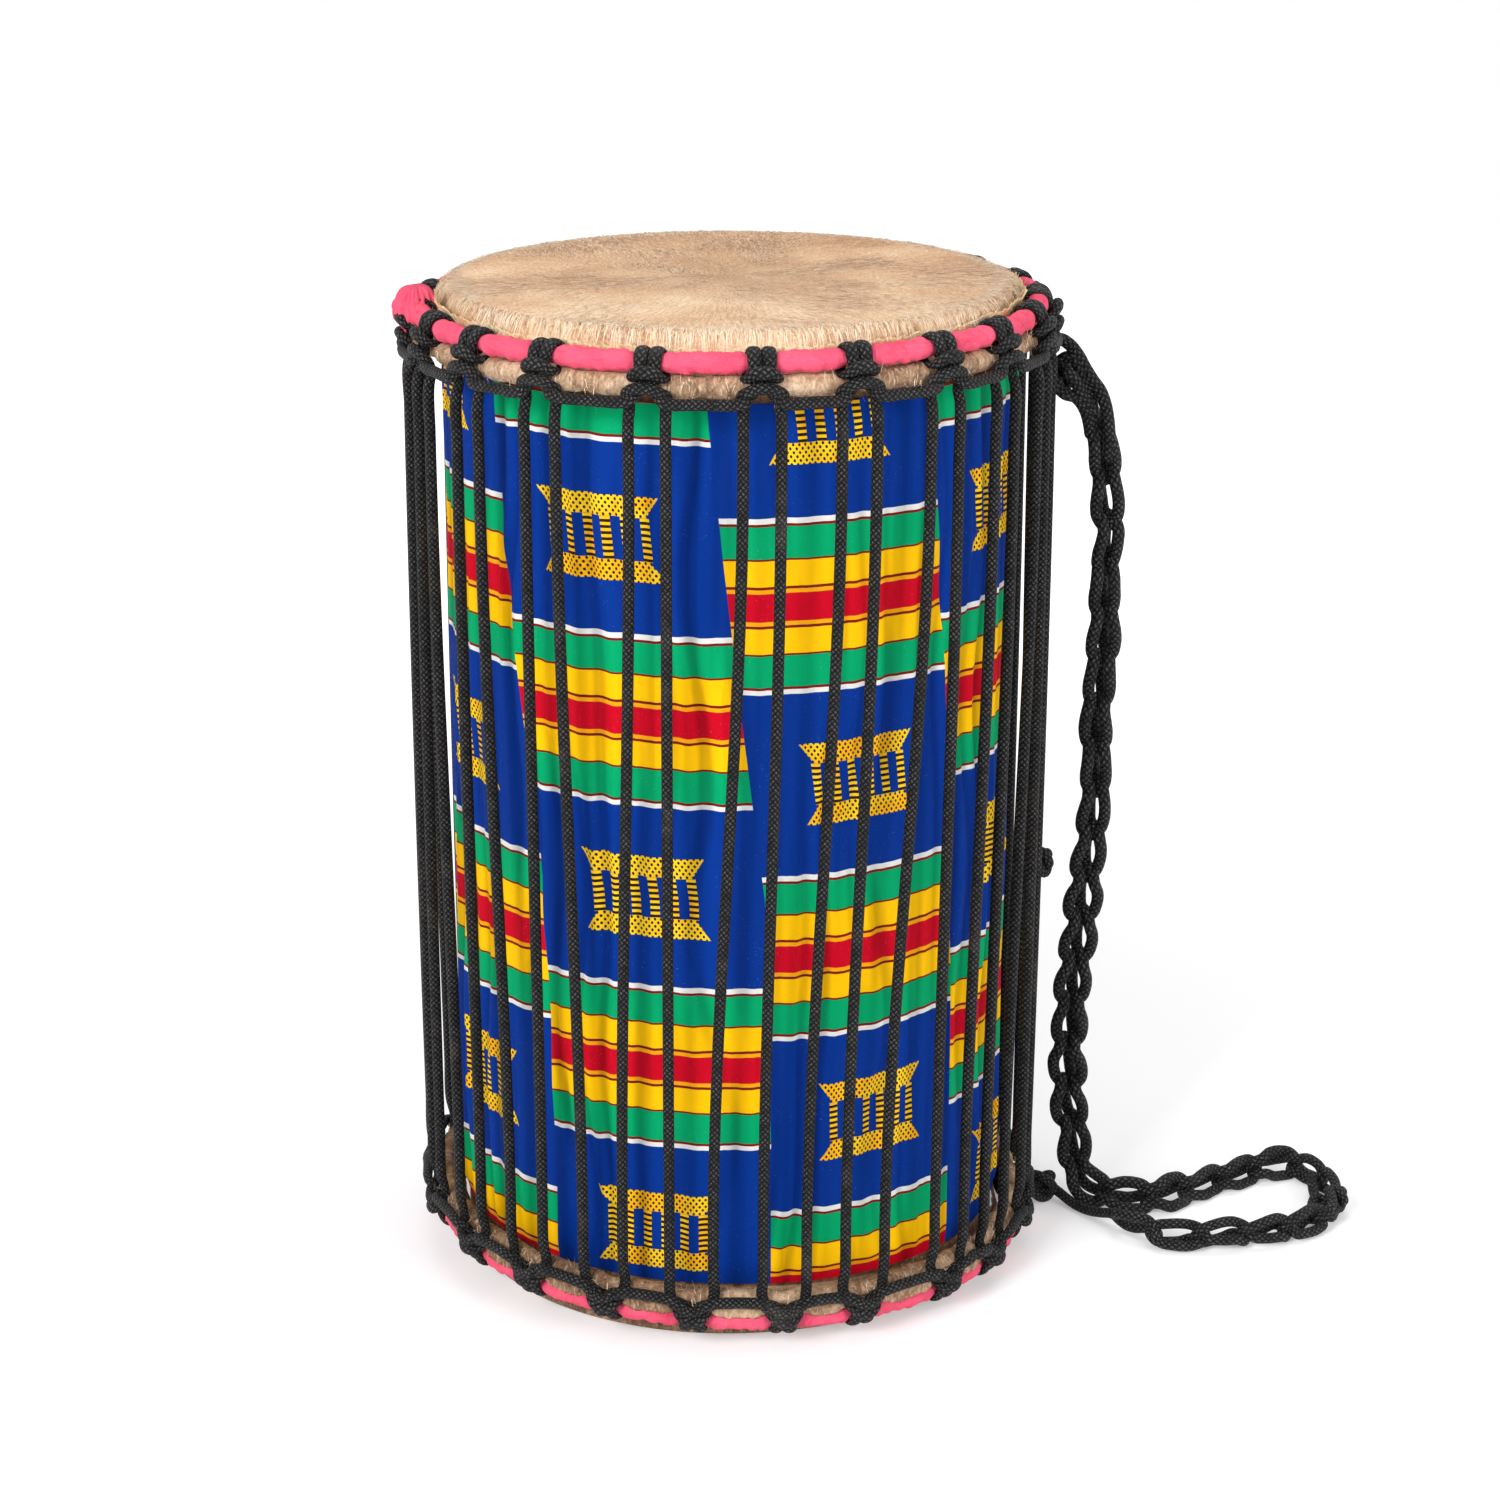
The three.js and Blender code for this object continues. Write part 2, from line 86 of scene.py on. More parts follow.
def ring_noise(
    angle: np.ndarray, seed: int, low: int, high: int, height: np.ndarray | float = 0
) -> np.ndarray:
    """Smooth noise that closes on itself round the drum, from about -1 to 1.

    Args:
        angle: Angles round the drum.
        seed: Picks one noise.
        low: The fewest waves round the drum.
        high: The most waves round the drum.
        height: A second direction, in waves, over which the noise drifts.

    Returns:
        The noise at each place.
    """
    random = np.random.default_rng(seed)
    total = np.zeros(np.broadcast(angle, height).shape)
    counts = np.unique(np.linspace(low, high, NOISE_WAVES).round().astype(int))
    for count in counts:
        phase, drift = random.uniform(0, math.tau), random.normal(0, NOISE_DRIFT)
        total = total + np.cos(count * angle + drift * height + phase)
    return total / math.sqrt(len(counts))


def whole_turn(sides: int) -> np.ndarray:
    """Angles evenly round the drum, in one row."""
    return np.linspace(0, math.tau, sides, endpoint=False)[None, :]


def about_drum(angle: np.ndarray, reach: np.ndarray | float, height: np.ndarray | float) -> np.ndarray:
    """Points round the drum, with the coordinates last.

    Args:
        angle: The angle round the drum.
        reach: The distance from its axis.
        height: The height.

    Returns:
        The points.
    """
    return np.stack(np.broadcast_arrays(reach * np.sin(angle), -reach * np.cos(angle), height), axis=-1)


def texture_grid(down: np.ndarray, across: np.ndarray) -> np.ndarray:
    """Texture places for a grid of points: x comes from the column, and y from the row."""
    return np.stack(np.meshgrid(down, across, indexing="ij")[::-1], axis=-1)


def run_along(line: np.ndarray) -> np.ndarray:
    """The distance along a line at each of its points."""
    return np.concatenate([[0], np.cumsum(np.linalg.norm(np.diff(line, axis=0), axis=1))])


def row_at(run: np.ndarray, rows: np.ndarray, at: float) -> np.ndarray:
    """A line's row at a distance along it.

    Args:
        run: The distance of each row.
        rows: The rows.
        at: The distance.

    Returns:
        The row between its two neighbours.
    """
    return np.array([np.interp(at, run, column) for column in rows.T])


def smooth_line(rows: np.ndarray, step: float, closed: bool = False) -> np.ndarray:
    """A smooth line through rows whose first three columns are a point, with the other columns carried along.

    Args:
        rows: The places that the line passes through.
        step: The distance between points of the line.
        closed: Whether the line ends where it starts.

    Returns:
        The line's rows, about a step apart.
    """
    count = len(rows)
    ahead = np.roll(rows, -1, axis=0)
    chord = np.linalg.norm((ahead - rows)[:, :3], axis=1)
    slope = (ahead - rows) / chord[:, None]
    before, chord_before = np.roll(slope, 1, axis=0), np.roll(chord, 1)
    tangent = (slope * chord_before[:, None] + before * chord[:, None]) / (chord + chord_before)[:, None]
    if not closed:
        tangent[0], tangent[-1] = slope[0], slope[-2]
    pieces = []
    for index in range(count if closed else count - 1):
        parts = max(1, math.ceil(chord[index] / step))
        share = (np.arange(parts) / parts)[:, None]
        start, end = rows[index], ahead[index]
        leave, arrive = tangent[index] * chord[index], tangent[(index + 1) % count] * chord[index]
        square, cube = share**2, share**3
        pieces.append(
            (2 * cube - 3 * square + 1) * start
            + (cube - 2 * square + share) * leave
            + (3 * square - 2 * cube) * end
            + (cube - square) * arrive
        )
    if not closed:
        pieces.append(rows[-1:])
    return np.concatenate(pieces)


def tangents(centre: np.ndarray, closed: bool) -> np.ndarray:
    """The unit direction of a line at each of its points.

    Args:
        centre: The line's points.
        closed: Whether the line ends where it starts.

    Returns:
        A direction for each point.
    """
    ahead = np.roll(centre, -1, axis=0) - np.roll(centre, 1, axis=0)
    if not closed:
        ahead[0], ahead[-1] = centre[1] - centre[0], centre[-1] - centre[-2]
    return ahead / np.linalg.norm(ahead, axis=1)[:, None]


def carried_normals(centre: np.ndarray, start: Sequence[float], closed: bool = False) -> np.ndarray:
    """Normals that are carried along a line with no more turn than the line gives them.

    Args:
        centre: The line's points.
        start: About which way the first normal points.
        closed: Whether the line ends where it starts.

    Returns:
        A unit normal for each point.
    """
    along = tangents(centre, closed)
    normals = np.empty_like(centre)
    current = np.array(start, float)
    for index, direction in enumerate(along):
        current = current - direction * current.dot(direction)
        current /= np.linalg.norm(current)
        normals[index] = current
    return normals


def new_mesh(name: str, points: np.ndarray, corners: np.ndarray, places: np.ndarray) -> bpy.types.Object:
    """A mesh of four-sided faces.

    Args:
        name: The piece's name.
        points: Its points.
        corners: The numbers of each face's points.
        places: The texture place of each face's corners.

    Returns:
        The new object.
    """
    mesh = bpy.data.meshes.new(name)
    mesh.vertices.add(len(points))
    mesh.vertices.foreach_set("co", points.astype(np.float32).ravel())
    mesh.loops.add(corners.size)
    mesh.loops.foreach_set("vertex_index", corners.astype(np.int32).ravel())
    mesh.polygons.add(len(corners))
    mesh.polygons.foreach_set("loop_start", np.arange(0, corners.size, 4, dtype=np.int32))
    mesh.update(calc_edges=True)
    layer = mesh.uv_layers.new(name="UVMap")
    layer.data.foreach_set("uv", places.astype(np.float32).ravel())
    piece = bpy.data.objects.new(name, mesh)
    bpy.context.scene.collection.objects.link(piece)
    return piece


def grid_mesh(
    name: str,
    points: np.ndarray,
    uv: np.ndarray,
    close_rows: bool = False,
    close_columns: bool = False,
) -> bpy.types.Object:
    """A smooth mesh from a grid of points, whose rows run one way and columns the other.

    Args:
        name: The piece's name.
        points: The grid, rows by columns by 3.
        uv: Texture places, with a row or column more where the grid closes on itself.
        close_rows: Whether the last row joins the first.
        close_columns: Whether the last column joins the first.

    Returns:
        The new object.
    """
    rows, columns = points.shape[:2]
    row = np.arange(rows if close_rows else rows - 1)[:, None]
    column = np.arange(columns if close_columns else columns - 1)[None, :]
    next_row, next_column = (row + 1) % rows, (column + 1) % columns
    corners = np.stack(
        [
            row * columns + column,
            row * columns + next_column,
            next_row * columns + next_column,
            next_row * columns + column,
        ],
        axis=-1,
    ).reshape(-1, 4)
    places = np.stack(
        [uv[row, column], uv[row, column + 1], uv[row + 1, column + 1], uv[row + 1, column]], axis=2
    ).reshape(-1, 4, 2)
    flat = points.reshape(-1, 3)
    one, two, four = flat[corners[:, 0]], flat[corners[:, 1]], flat[corners[:, 3]]
    if close_columns and np.einsum("ij,ij->i", one - flat.mean(0), np.cross(two - one, four - one)).sum() < 0:
        corners, places = corners[:, ::-1], places[:, ::-1]
    piece = new_mesh(name, flat, corners, places)
    piece.data.shade_smooth()
    return piece


def joined(name: str, parts: Sequence[bpy.types.Object]) -> bpy.types.Object:
    """Joins meshes into one piece, which takes the name given.

    Args:
        name: The joined piece's name.
        parts: The meshes.

    Returns:
        The joined piece.
    """
    with bpy.context.temp_override(active_object=parts[0], selected_editable_objects=list(parts)):
        bpy.ops.object.join()
    parts[0].name = name
    return parts[0]


def rope_mesh(name: str, line: np.ndarray, closed: bool = False) -> bpy.types.Object:
    """A rope along a line, oval where it is squeezed, with rounded ends where it is open.

    Args:
        name: The piece's name.
        line: Rows of a point, half the width, half the thickness, and the way the thickness points.
        closed: Whether the rope ends where it starts.

    Returns:
        The rope, whose texture runs round it and along it at one scale.
    """
    centre, wide, thick = line[:, :3], line[:, 3].copy(), line[:, 4].copy()
    along = tangents(centre, closed)
    normal = line[:, 5:8] - along * np.einsum("ij,ij->i", line[:, 5:8], along)[:, None]
    normal /= np.linalg.norm(normal, axis=1)[:, None]
    across = np.cross(along, normal)
    step = np.linalg.norm(np.roll(centre, -1, axis=0) - centre, axis=1)
    run = np.concatenate([[0], np.cumsum(step)])
    if not closed:
        run = run[:-1]
        near = np.minimum(run, run[-1] - run)
        rounding = np.sqrt(np.clip(1 - (1 - np.minimum(near / thick.mean(), 1)) ** 2, ROPE_TIP, 1))
        wide, thick = wide * rounding, thick * rounding
    turn = np.linspace(0, math.tau, ROPE_SIDES, endpoint=False)
    points = (
        centre[:, None]
        + normal[:, None] * (thick[:, None] * np.cos(turn))[..., None]
        + across[:, None] * (wide[:, None] * np.sin(turn))[..., None]
    )
    girth = math.tau * float(np.median(line[:, 3]))
    uv = texture_grid(run / girth, np.linspace(0, 1, ROPE_SIDES + 1))
    return grid_mesh(name, points, uv, close_rows=closed, close_columns=True)


def free_rope(
    name: str, centre: np.ndarray, diameter: float, start: Sequence[float], closed: bool = False
) -> bpy.types.Object:
    """A round rope along a line's points.

    Args:
        name: The piece's name.
        centre: The line's points.
        diameter: The rope's thickness.
        start: About which way the side of its first section points.
        closed: Whether the rope ends where it starts.

    Returns:
        The rope.
    """
    half = np.full((len(centre), 2), diameter / 2)
    return rope_mesh(name, np.hstack([centre, half, carried_normals(centre, start, closed)]), closed)


def hair_mesh(
    name: str,
    root: np.ndarray,
    way: np.ndarray,
    length: np.ndarray,
    lift: np.ndarray,
    droop: np.ndarray,
    shade: np.ndarray,
    width: float,
) -> bpy.types.Object:
    """Tapered strands of hair in one mesh, two faces a hair.

    Args:
        name: The piece's name.
        root: Where each hair grows.
        way: The unit direction that each lies in.
        length: Each hair's length.
        lift: How high its middle stands over its root.
        droop: How far its tip drops.
        shade: Each hair's shade, from 0 to 1.
        width: How wide a hair is at its root.

    Returns:
        The hairs.
    """
    up = np.array([0, 0, 1.0])
    side = np.cross(way, up)
    side *= (width / 2) / np.maximum(np.linalg.norm(side, axis=1), 0.2)[:, None]
    middle = root + way * (HAIR_MIDDLE * length)[:, None] + up * lift[:, None]
    tip = root + way * length[:, None] + up * (0.5 * lift - droop)[:, None]
    rows = [
        at + hand * share * side
        for at, share in zip((root, middle, tip), HAIR_TAPER)
        for hand in (-1, 1)
    ]
    points = np.stack(rows, axis=1)
    along = np.array([0, 0, 0.5, 0.5, 1, 1])
    uv = np.stack(np.broadcast_arrays(shade[:, None], along[None, :]), axis=-1)
    base = (np.arange(len(root)) * len(rows))[:, None, None]
    corners = (base + np.array([[0, 1, 3, 2], [2, 3, 5, 4]])).reshape(-1, 4)
    return new_mesh(name, points.reshape(-1, 3), corners, uv.reshape(-1, 2)[corners])


# Finishes


class Field:
    """A number that varies over a surface, whose arithmetic adds nodes to the finish."""

    def __init__(self, tree: bpy.types.NodeTree, socket: bpy.types.NodeSocket) -> None:
        """Wraps an output socket of a node tree."""
        self.tree = tree
        self.socket = socket

    def _math(self, operation: str, *others: "Field | float") -> "Field":
        """Adds a Math node with this field as its first input.

        Args:
            operation: What the node works out.
            *others: Its further inputs.

        Returns:
            The node's result.
        """
        node = self.tree.nodes.new("ShaderNodeMath")
        node.operation = operation
        for slot, value in zip(node.inputs, (self, *others)):
            if isinstance(value, Field):
                self.tree.links.new(value.socket, slot)
            else:
                slot.default_value = value
        return Field(self.tree, node.outputs[0])

    def __add__(self, other: "Field | float") -> "Field":
        """The sum."""
        return self._math("ADD", other)

    def __sub__(self, other: "Field | float") -> "Field":
        """The difference."""
        return self._math("SUBTRACT", other)

    def __mul__(self, other: "Field | float") -> "Field":
        """The product."""
        return self._math("MULTIPLY", other)

    def __truediv__(self, other: "Field | float") -> "Field":
        """The quotient."""
        return self._math("DIVIDE", other)

    def __neg__(self) -> "Field":
        """The same number with the other sign."""
        return self * -1.0

    def sine(self) -> "Field":
        """The sine of an angle."""
        return self._math("SINE")

    def fraction(self) -> "Field":
        """What is left above the next lower whole number."""
        return self._math("FRACT")

    def whole(self) -> "Field":
        """The next lower whole number."""
        return self._math("FLOOR")

    def size(self) -> "Field":
        """The number without its sign."""
        return self._math("ABSOLUTE")

    def power(self, exponent: float) -> "Field":
        """The number to a power."""
        return self._math("POWER", exponent)

    def above(self, limit: "Field | float") -> "Field":
        """1 where the number is above the limit, 0 elsewhere."""
        return self._math("GREATER_THAN", limit)

    def below(self, limit: "Field | float") -> "Field":
        """1 where the number is below the limit, 0 elsewhere."""
        return self._math("LESS_THAN", limit)

    def most(self, other: "Field | float") -> "Field":
        """The larger of the two."""
        return self._math("MAXIMUM", other)

    def odd(self) -> "Field":
        """1 for an odd whole number, 0 for an even one."""
        return (self * 0.5).fraction().above(0.25)

    def between(self, low: float, high: float) -> "Field":
        """Rises smoothly from 0 at low to 1 at high.

        Args:
            low: Where the rise starts.
            high: Where it ends.

        Returns:
            The share, held between 0 and 1.
        """
        node = self.tree.nodes.new("ShaderNodeMapRange")
        node.interpolation_type = "SMOOTHSTEP"
        self.tree.links.new(self.socket, node.inputs["Value"])
        node.inputs["From Min"].default_value = low
        node.inputs["From Max"].default_value = high
        return Field(self.tree, node.outputs["Result"])

    def bands(self, stops: Sequence[tuple[float, Colour]], sharp: bool = False) -> bpy.types.NodeSocket:
        """Colours along the number, from 0 to 1.

        Args:
            stops: Where each colour starts, and the colour.
            sharp: Whether the colours meet in a line.

        Returns:
            The colour's socket.
        """
        node = self.tree.nodes.new("ShaderNodeValToRGB")
        ramp = node.color_ramp
        ramp.interpolation = "CONSTANT" if sharp else "LINEAR"
        while len(ramp.elements) < len(stops):
            ramp.elements.new(1)
        for element, (position, colour) in zip(ramp.elements, stops):
            element.position = position
            element.color = (*colour, 1)
        self.tree.links.new(self.socket, node.inputs["Fac"])
        return node.outputs["Color"]


class Surface:
    """A finish that is being made: its material, its shader and the nodes that feed it."""

    def __init__(self, name: str) -> None:
        """Starts an empty finish.

        Args:
            name: The material's name.
        """
        self.material = bpy.data.materials.new(name)
        self.material.use_nodes = True
        self.tree = self.material.node_tree
        self.shader = self.tree.nodes["Principled BSDF"]
        self.coordinates = self.tree.nodes.new("ShaderNodeTexCoord")

    def link(self, source: bpy.types.NodeSocket, target: bpy.types.NodeSocket) -> None:
        """Joins two sockets."""
        self.tree.links.new(source, target)

    def uv(self) -> tuple[Field, Field]:
        """The two texture coordinates.

        Returns:
            The first coordinate and the second.
        """
        node = self.tree.nodes.new("ShaderNodeSeparateXYZ")
        self.link(self.coordinates.outputs["UV"], node.inputs[0])
        return Field(self.tree, node.outputs["X"]), Field(self.tree, node.outputs["Y"])

    def place(self) -> tuple[Field, Field, Field]:
        """The place on the object, in metres.

        Returns:
            The three coordinates.
        """
        node = self.tree.nodes.new("ShaderNodeSeparateXYZ")
        self.link(self.coordinates.outputs["Object"], node.inputs[0])
        return tuple(Field(self.tree, node.outputs[axis]) for axis in "XYZ")

    def noise(self, scale: float, detail: float = 2, on: Sequence["Field | float"] | None = None) -> Field:
        """Smooth noise from 0 to 1, a sum of layers.

        Args:
            scale: How many lumps there are in a unit of length.
            detail: How many finer layers are added.
            on: The coordinates that it lies on, or none for the place on the object.

        Returns:
            The noise.
        """
        node = self.tree.nodes.new("ShaderNodeTexNoise")
        node.inputs["Scale"].default_value = scale
        node.inputs["Detail"].default_value = detail
        if on is None:
            self.link(self.coordinates.outputs["Object"], node.inputs["Vector"])
        else:
            vector = self.tree.nodes.new("ShaderNodeCombineXYZ")
            for slot, value in zip(vector.inputs, on):
                if isinstance(value, Field):
                    self.link(value.socket, slot)
                else:
                    slot.default_value = value
            self.link(vector.outputs[0], node.inputs["Vector"])
        return Field(self.tree, node.outputs["Fac"])

    def mix(
        self,
        share: Field,
        one: "Colour | bpy.types.NodeSocket",
        two: "Colour | bpy.types.NodeSocket",
        blend: str = "MIX",
    ) -> bpy.types.NodeSocket:
        """One colour where the share is 0, and the other where it is 1.

        Args:
            share: How much of the second colour there is.
            one: The first colour.
            two: The second colour.
            blend: How the second is laid on the first.

        Returns:
            The mixed colour's socket.
        """
        node = self.tree.nodes.new("ShaderNodeMix")
        node.data_type = "RGBA"
        node.blend_type = blend
        self.link(share.socket, node.inputs[0])
        for slot, colour in ((node.inputs[6], one), (node.inputs[7], two)):
            if isinstance(colour, tuple):
                slot.default_value = (*colour, 1)
            else:
                self.link(colour, slot)
        return node.outputs[2]

    def finish(
        self,
        colour: "Colour | bpy.types.NodeSocket",
        roughness: "Field | float",
        relief: Field | None = None,
        depth: float = 0.0,
        **sockets: float,
    ) -> bpy.types.Material:
        """Sets the shader and closes the finish.

        Args:
            colour: The base colour.
            roughness: The roughness.
            relief: The height of the surface, from 0 to 1.
            depth: The relief's real depth, in metres.
            **sockets: Plain numbers for other sockets of the shader, with _ for a space.

        Returns:
            The finished material.
        """
        if isinstance(colour, tuple):
            self.shader.inputs["Base Color"].default_value = (*colour, 1)
        else:
            self.link(colour, self.shader.inputs["Base Color"])
        if isinstance(roughness, Field):
            self.link(roughness.socket, self.shader.inputs["Roughness"])
        else:
            self.shader.inputs["Roughness"].default_value = roughness
        if relief is not None:
            bump = self.tree.nodes.new("ShaderNodeBump")
            bump.inputs["Distance"].default_value = depth
            self.link(relief.socket, bump.inputs["Height"])
            self.link(bump.outputs[0], self.shader.inputs["Normal"])
        for name, value in sockets.items():
            self.shader.inputs[name.replace("_", " ")].default_value = value
        return self.material


def plain_sight(tree: bpy.types.NodeTree) -> Field:
    """1 for the rays that show a background as it is: the camera's, and those of gloss and glass.

    Args:
        tree: The node tree that needs it.

    Returns:
        The number.
    """
    paths = tree.nodes.new("ShaderNodeLightPath")
    seen = Field(tree, paths.outputs["Is Camera Ray"])
    for ray in ("Is Glossy Ray", "Is Transmission Ray"):
        seen = seen.most(Field(tree, paths.outputs[ray]))
    return seen


@dataclass(frozen=True)
class BraidedRope:
    """Charcoal polyester rope: a plain braid of strands that cross in small diamonds, with painted shade in
    the gaps between strands and a painted highlight on their crests.
    """

    name: str = "braided_rope"
    strands: int = 6
    yarns: int = 3
    yarn_height: float = 0.11
    relief: float = 0.8 * MM
    # dark is painted shade in the gaps between strands, and light is a painted highlight on the strand
    # crests.
    dark: Colour = (0.001, 0.001, 0.0014)
    light: Colour = (0.096, 0.092, 0.092)
    speck: Colour = (0.36, 0.34, 0.32)
    dust: Colour = (0.14, 0.125, 0.11)

    def build(self) -> bpy.types.Material:
        """Makes the finish from the rope's own texture coordinates.

        Returns:
            The finished material.
        """
        surface = Surface(self.name)
        around, along = surface.uv()
        one = (around + along) * float(self.strands)
        two = (around - along) * float(self.strands)
        on_top = (one.whole() + two.whole()).odd()
        crown_one = (one.fraction() * math.pi).sine()
        crown_two = (two.fraction() * math.pi).sine()
        yarns_one = (two * (self.yarns * math.tau)).sine() * self.yarn_height
        yarns_two = (one * (self.yarns * math.tau)).sine() * self.yarn_height
        first = crown_one * (crown_two * 0.45 + 0.55) + yarns_one
        second = crown_two * (crown_one * 0.45 + 0.55) + yarns_two
        height = first * on_top + second * (on_top * -1.0 + 1.0)
        fuzz = surface.noise(2600, 2)
        patches = surface.noise(38, 3)
        # Painted highlight: noise patches set how pale the strand crests are painted.
        crest_highlight_patches = surface.noise(260, 3).between(0.3, 0.68) * 0.75 + 0.2
        # The colour runs from painted shade in the gaps to the painted highlight on the crests.
        colour = surface.mix(height.between(0.5, 1.08) * crest_highlight_patches, self.dark, self.light)
        colour = surface.mix(fuzz.between(0.6, 0.78) * height.between(0.4, 0.9) * 0.8, colour, self.speck)
        colour = surface.mix(patches.between(0.58, 0.8) * fuzz.between(0.35, 0.7) * 0.5, colour, self.dust)
        relief = height + fuzz * 0.2
        return surface.finish(colour, 0.6, relief, self.relief, Specular_IOR_Level=0.2)


@dataclass(frozen=True)
class PrintedCotton:
    """Waxed cotton with a strip-weave print. Its texture's x counts columns of the print, and its y is the
    height in metres. Columns take turns between a block of stripes and a blue block with a stool. The
    stool's sizes are in millimetres, and there are so many threads in a millimetre."""

    name: str = "printed_cotton"
    period: float = 160.3 * MM
    stripes: float = 77.5 * MM
    even_start: float = 383.6 * MM
    odd_start: float = 331.7 * MM
    column: float = 102 * MM
    blue: Colour = (0.001, 0.033, 0.262)
    white: Colour = (0.8, 0.79, 0.75)
    green: Colour = (0.0, 0.36, 0.135)
    yellow: Colour = (1.0, 0.55, 0.002)
    red: Colour = (0.58, 0.002, 0.017)
    line: Colour = (0.2, 0.008, 0.008)
    orange: Colour = (0.95, 0.40, 0.006)
    gold: Colour = (1.0, 0.62, 0.02)
    black: Colour = (0.02, 0.012, 0.006)
    shadow: Colour = (0.25, 0.25, 0.32)
    wobble: float = 0.25 * MM
    relief: float = 0.12 * MM
    threads: float = 2.4
    seat_from: float = 9.4
    seat_to: float = 18.6
    seat_half: float = 21.6
    seat_flare: float = 0.66
    dot_pitch: float = 2.6
    dot_lean: float = 0.77
    dot_size: float = 0.085
    post_pitch: float = 8.4
    post_share: float = 0.235
    posts_half: float = 25.2
    dash_pitch: float = 2.65

    def _stripe_stops(self) -> list[tuple[float, Colour]]:
        """The stripes of a block from the top down, each with where it starts as a share of the block.

        Returns:
            Where each stripe starts, and its colour.
        """
        half = [
            (2.2, self.white), (1.1, self.line), (13.9, self.green), (0.9, self.line), (10.9, self.yellow),
            (1.2, self.line), (1.9, self.orange),
        ]
        widths = [*half, (12.2, self.red), *reversed(half)]
        total = sum(width for width, _ in widths)
        stops, start = [], 0.0
        for width, colour in widths:
            stops.append((start / total, colour))
            start += width
        return stops

    def _stool(self, across: Field, up: Field) -> tuple[Field, Field]:
        """The stool in a blue block: two dotted seats that flare outward, joined by barred posts.

        Args:
            across: The distance from the block's middle, in millimetres.
            up: The height above its middle, in millimetres.

        Returns:
            Where the stool is, and where its ink is dark.
        """
        rise = up.size()
        flare = (rise - self.seat_from) * self.seat_flare + self.seat_half
        seat = rise.above(self.seat_from) * rise.below(self.seat_to) * (flare - across.size()).above(0.0)
        one = ((across + up * self.dot_lean) / self.dot_pitch).fraction() - 0.5
        two = ((across - up * self.dot_lean) / self.dot_pitch).fraction() - 0.5
        dot = (one * one + two * two).below(self.dot_size)
        bar = ((across / self.post_pitch).fraction() - 0.5).size().below(self.post_share)
        post = bar * across.size().below(self.posts_half) * rise.below(self.seat_from)
        dash = (up / self.dash_pitch).fraction().above(0.5)
        return (seat + post).below(0.5) * -1.0 + 1.0, seat * dot + post * dash

    def build(self) -> bpy.types.Material:
        """Makes the print, the weave, the crackle of the wax, and painted shade in the ripples' valleys.

        Returns:
            The finished material.
        """
        surface = Surface(self.name)
        column, height = surface.uv()
        wobble = (surface.noise(70, 1) - 0.5) * self.wobble
        height = height + wobble
        parity = column.whole().odd()
        turn = (-height + self.even_start) / self.period
        turn = turn - parity * ((self.even_start - self.odd_start) / self.period)
        turn = turn.fraction()
        share = self.stripes / self.period
        striped = turn.below(share)
        stripes = (turn / share).bands(self._stripe_stops(), sharp=True)
        across = (column.fraction() - 0.5) * (self.column / MM)
        up = (-turn + (1 + share) / 2) * (self.period / MM)
        stool, ink = self._stool(across, up)
        warm = surface.noise(55, 1).between(0.45, 0.65) * 0.7
        gold = surface.mix(warm, self.gold, self.orange)
        figure = surface.mix(ink, gold, self.black)
        ground = surface.mix(stool, self.blue, figure)
        colour = surface.mix(striped, ground, stripes)
        specks = surface.noise(1500, 1).between(0.7, 0.78) * surface.noise(60, 2).between(0.3, 0.7)
        colour = surface.mix(specks * 0.16, colour, self.white)
        # Painted shade: the ripples' valleys, read from the mesh, are multiplied towards the shadow colour.
        shade = surface.tree.nodes.new("ShaderNodeAttribute")
        shade.attribute_name = "valley"
        valley = Field(surface.tree, shade.outputs["Fac"])
        colour = surface.mix(valley * 0.5, colour, self.shadow, "MULTIPLY")
        warp = (column * (self.column / MM * self.threads * math.tau)).sine()
        weft = (height * (self.threads / MM * math.tau)).sine()
        relief = (warp + weft) * 0.25 + surface.noise(420, 2)
        roughness = surface.noise(90, 2) * 0.2 + 0.5
        return surface.finish(colour, roughness, relief, self.relief, Specular_IOR_Level=0.05)


@dataclass(frozen=True)
class Hide:
    """Goat hide: tan, mottled, combed with short hair. Its texture's x is the angle as a share of a turn, and
    its y runs along the hair in metres."""

    name: str = "hide"
    dark: Colour = (0.38, 0.19, 0.09)
    middle: Colour = (0.68, 0.42, 0.245)
    pale: Colour = (0.92, 0.72, 0.5)
    strokes_round: float = 900
    strokes_along: float = 60
    pale_share: float = 0.35
    front_pale: float = 0.9
    relief: float = 0.5 * MM
    blotches: float = 0.5
    grain: float = 0.6
    drift: float = 0.006

    def build(self) -> bpy.types.Material:
        """Makes the hide with its streaks of hair.

        Returns:
            The finished material.
        """
        surface = Surface(self.name)
        around, along = surface.uv()
        _, deep, _ = surface.place()
        drift = surface.noise(40, 2) * self.drift
        streak = surface.noise(1, 2, ((around + drift) * self.strokes_round, along * self.strokes_along, 0.0))
        fine = surface.noise(
            1, 1, ((around - drift) * (2.7 * self.strokes_round), along * (2 * self.strokes_along), 3.0)
        )
        blotch = surface.noise(22, 4)
        mottle = surface.noise(700, 4)
        tone = blotch * self.blotches + streak * 0.45 + mottle * self.grain - 0.28 - deep * self.front_pale
        colour = tone.bands([(0.3, self.dark), (0.52, self.middle), (0.8 - 0.2 * self.pale_share, self.pale)])
        colour = surface.mix(fine.between(0.5, 0.75) * 0.5, colour, self.pale)
        colour = surface.mix(surface.noise(75, 3).between(0.66, 0.8) * 0.4, colour, self.dark)
        relief = streak * 0.6 + fine * 0.4 + mottle * 0.5
        return surface.finish(colour, 0.72, relief, self.relief, Specular_IOR_Level=0.25)


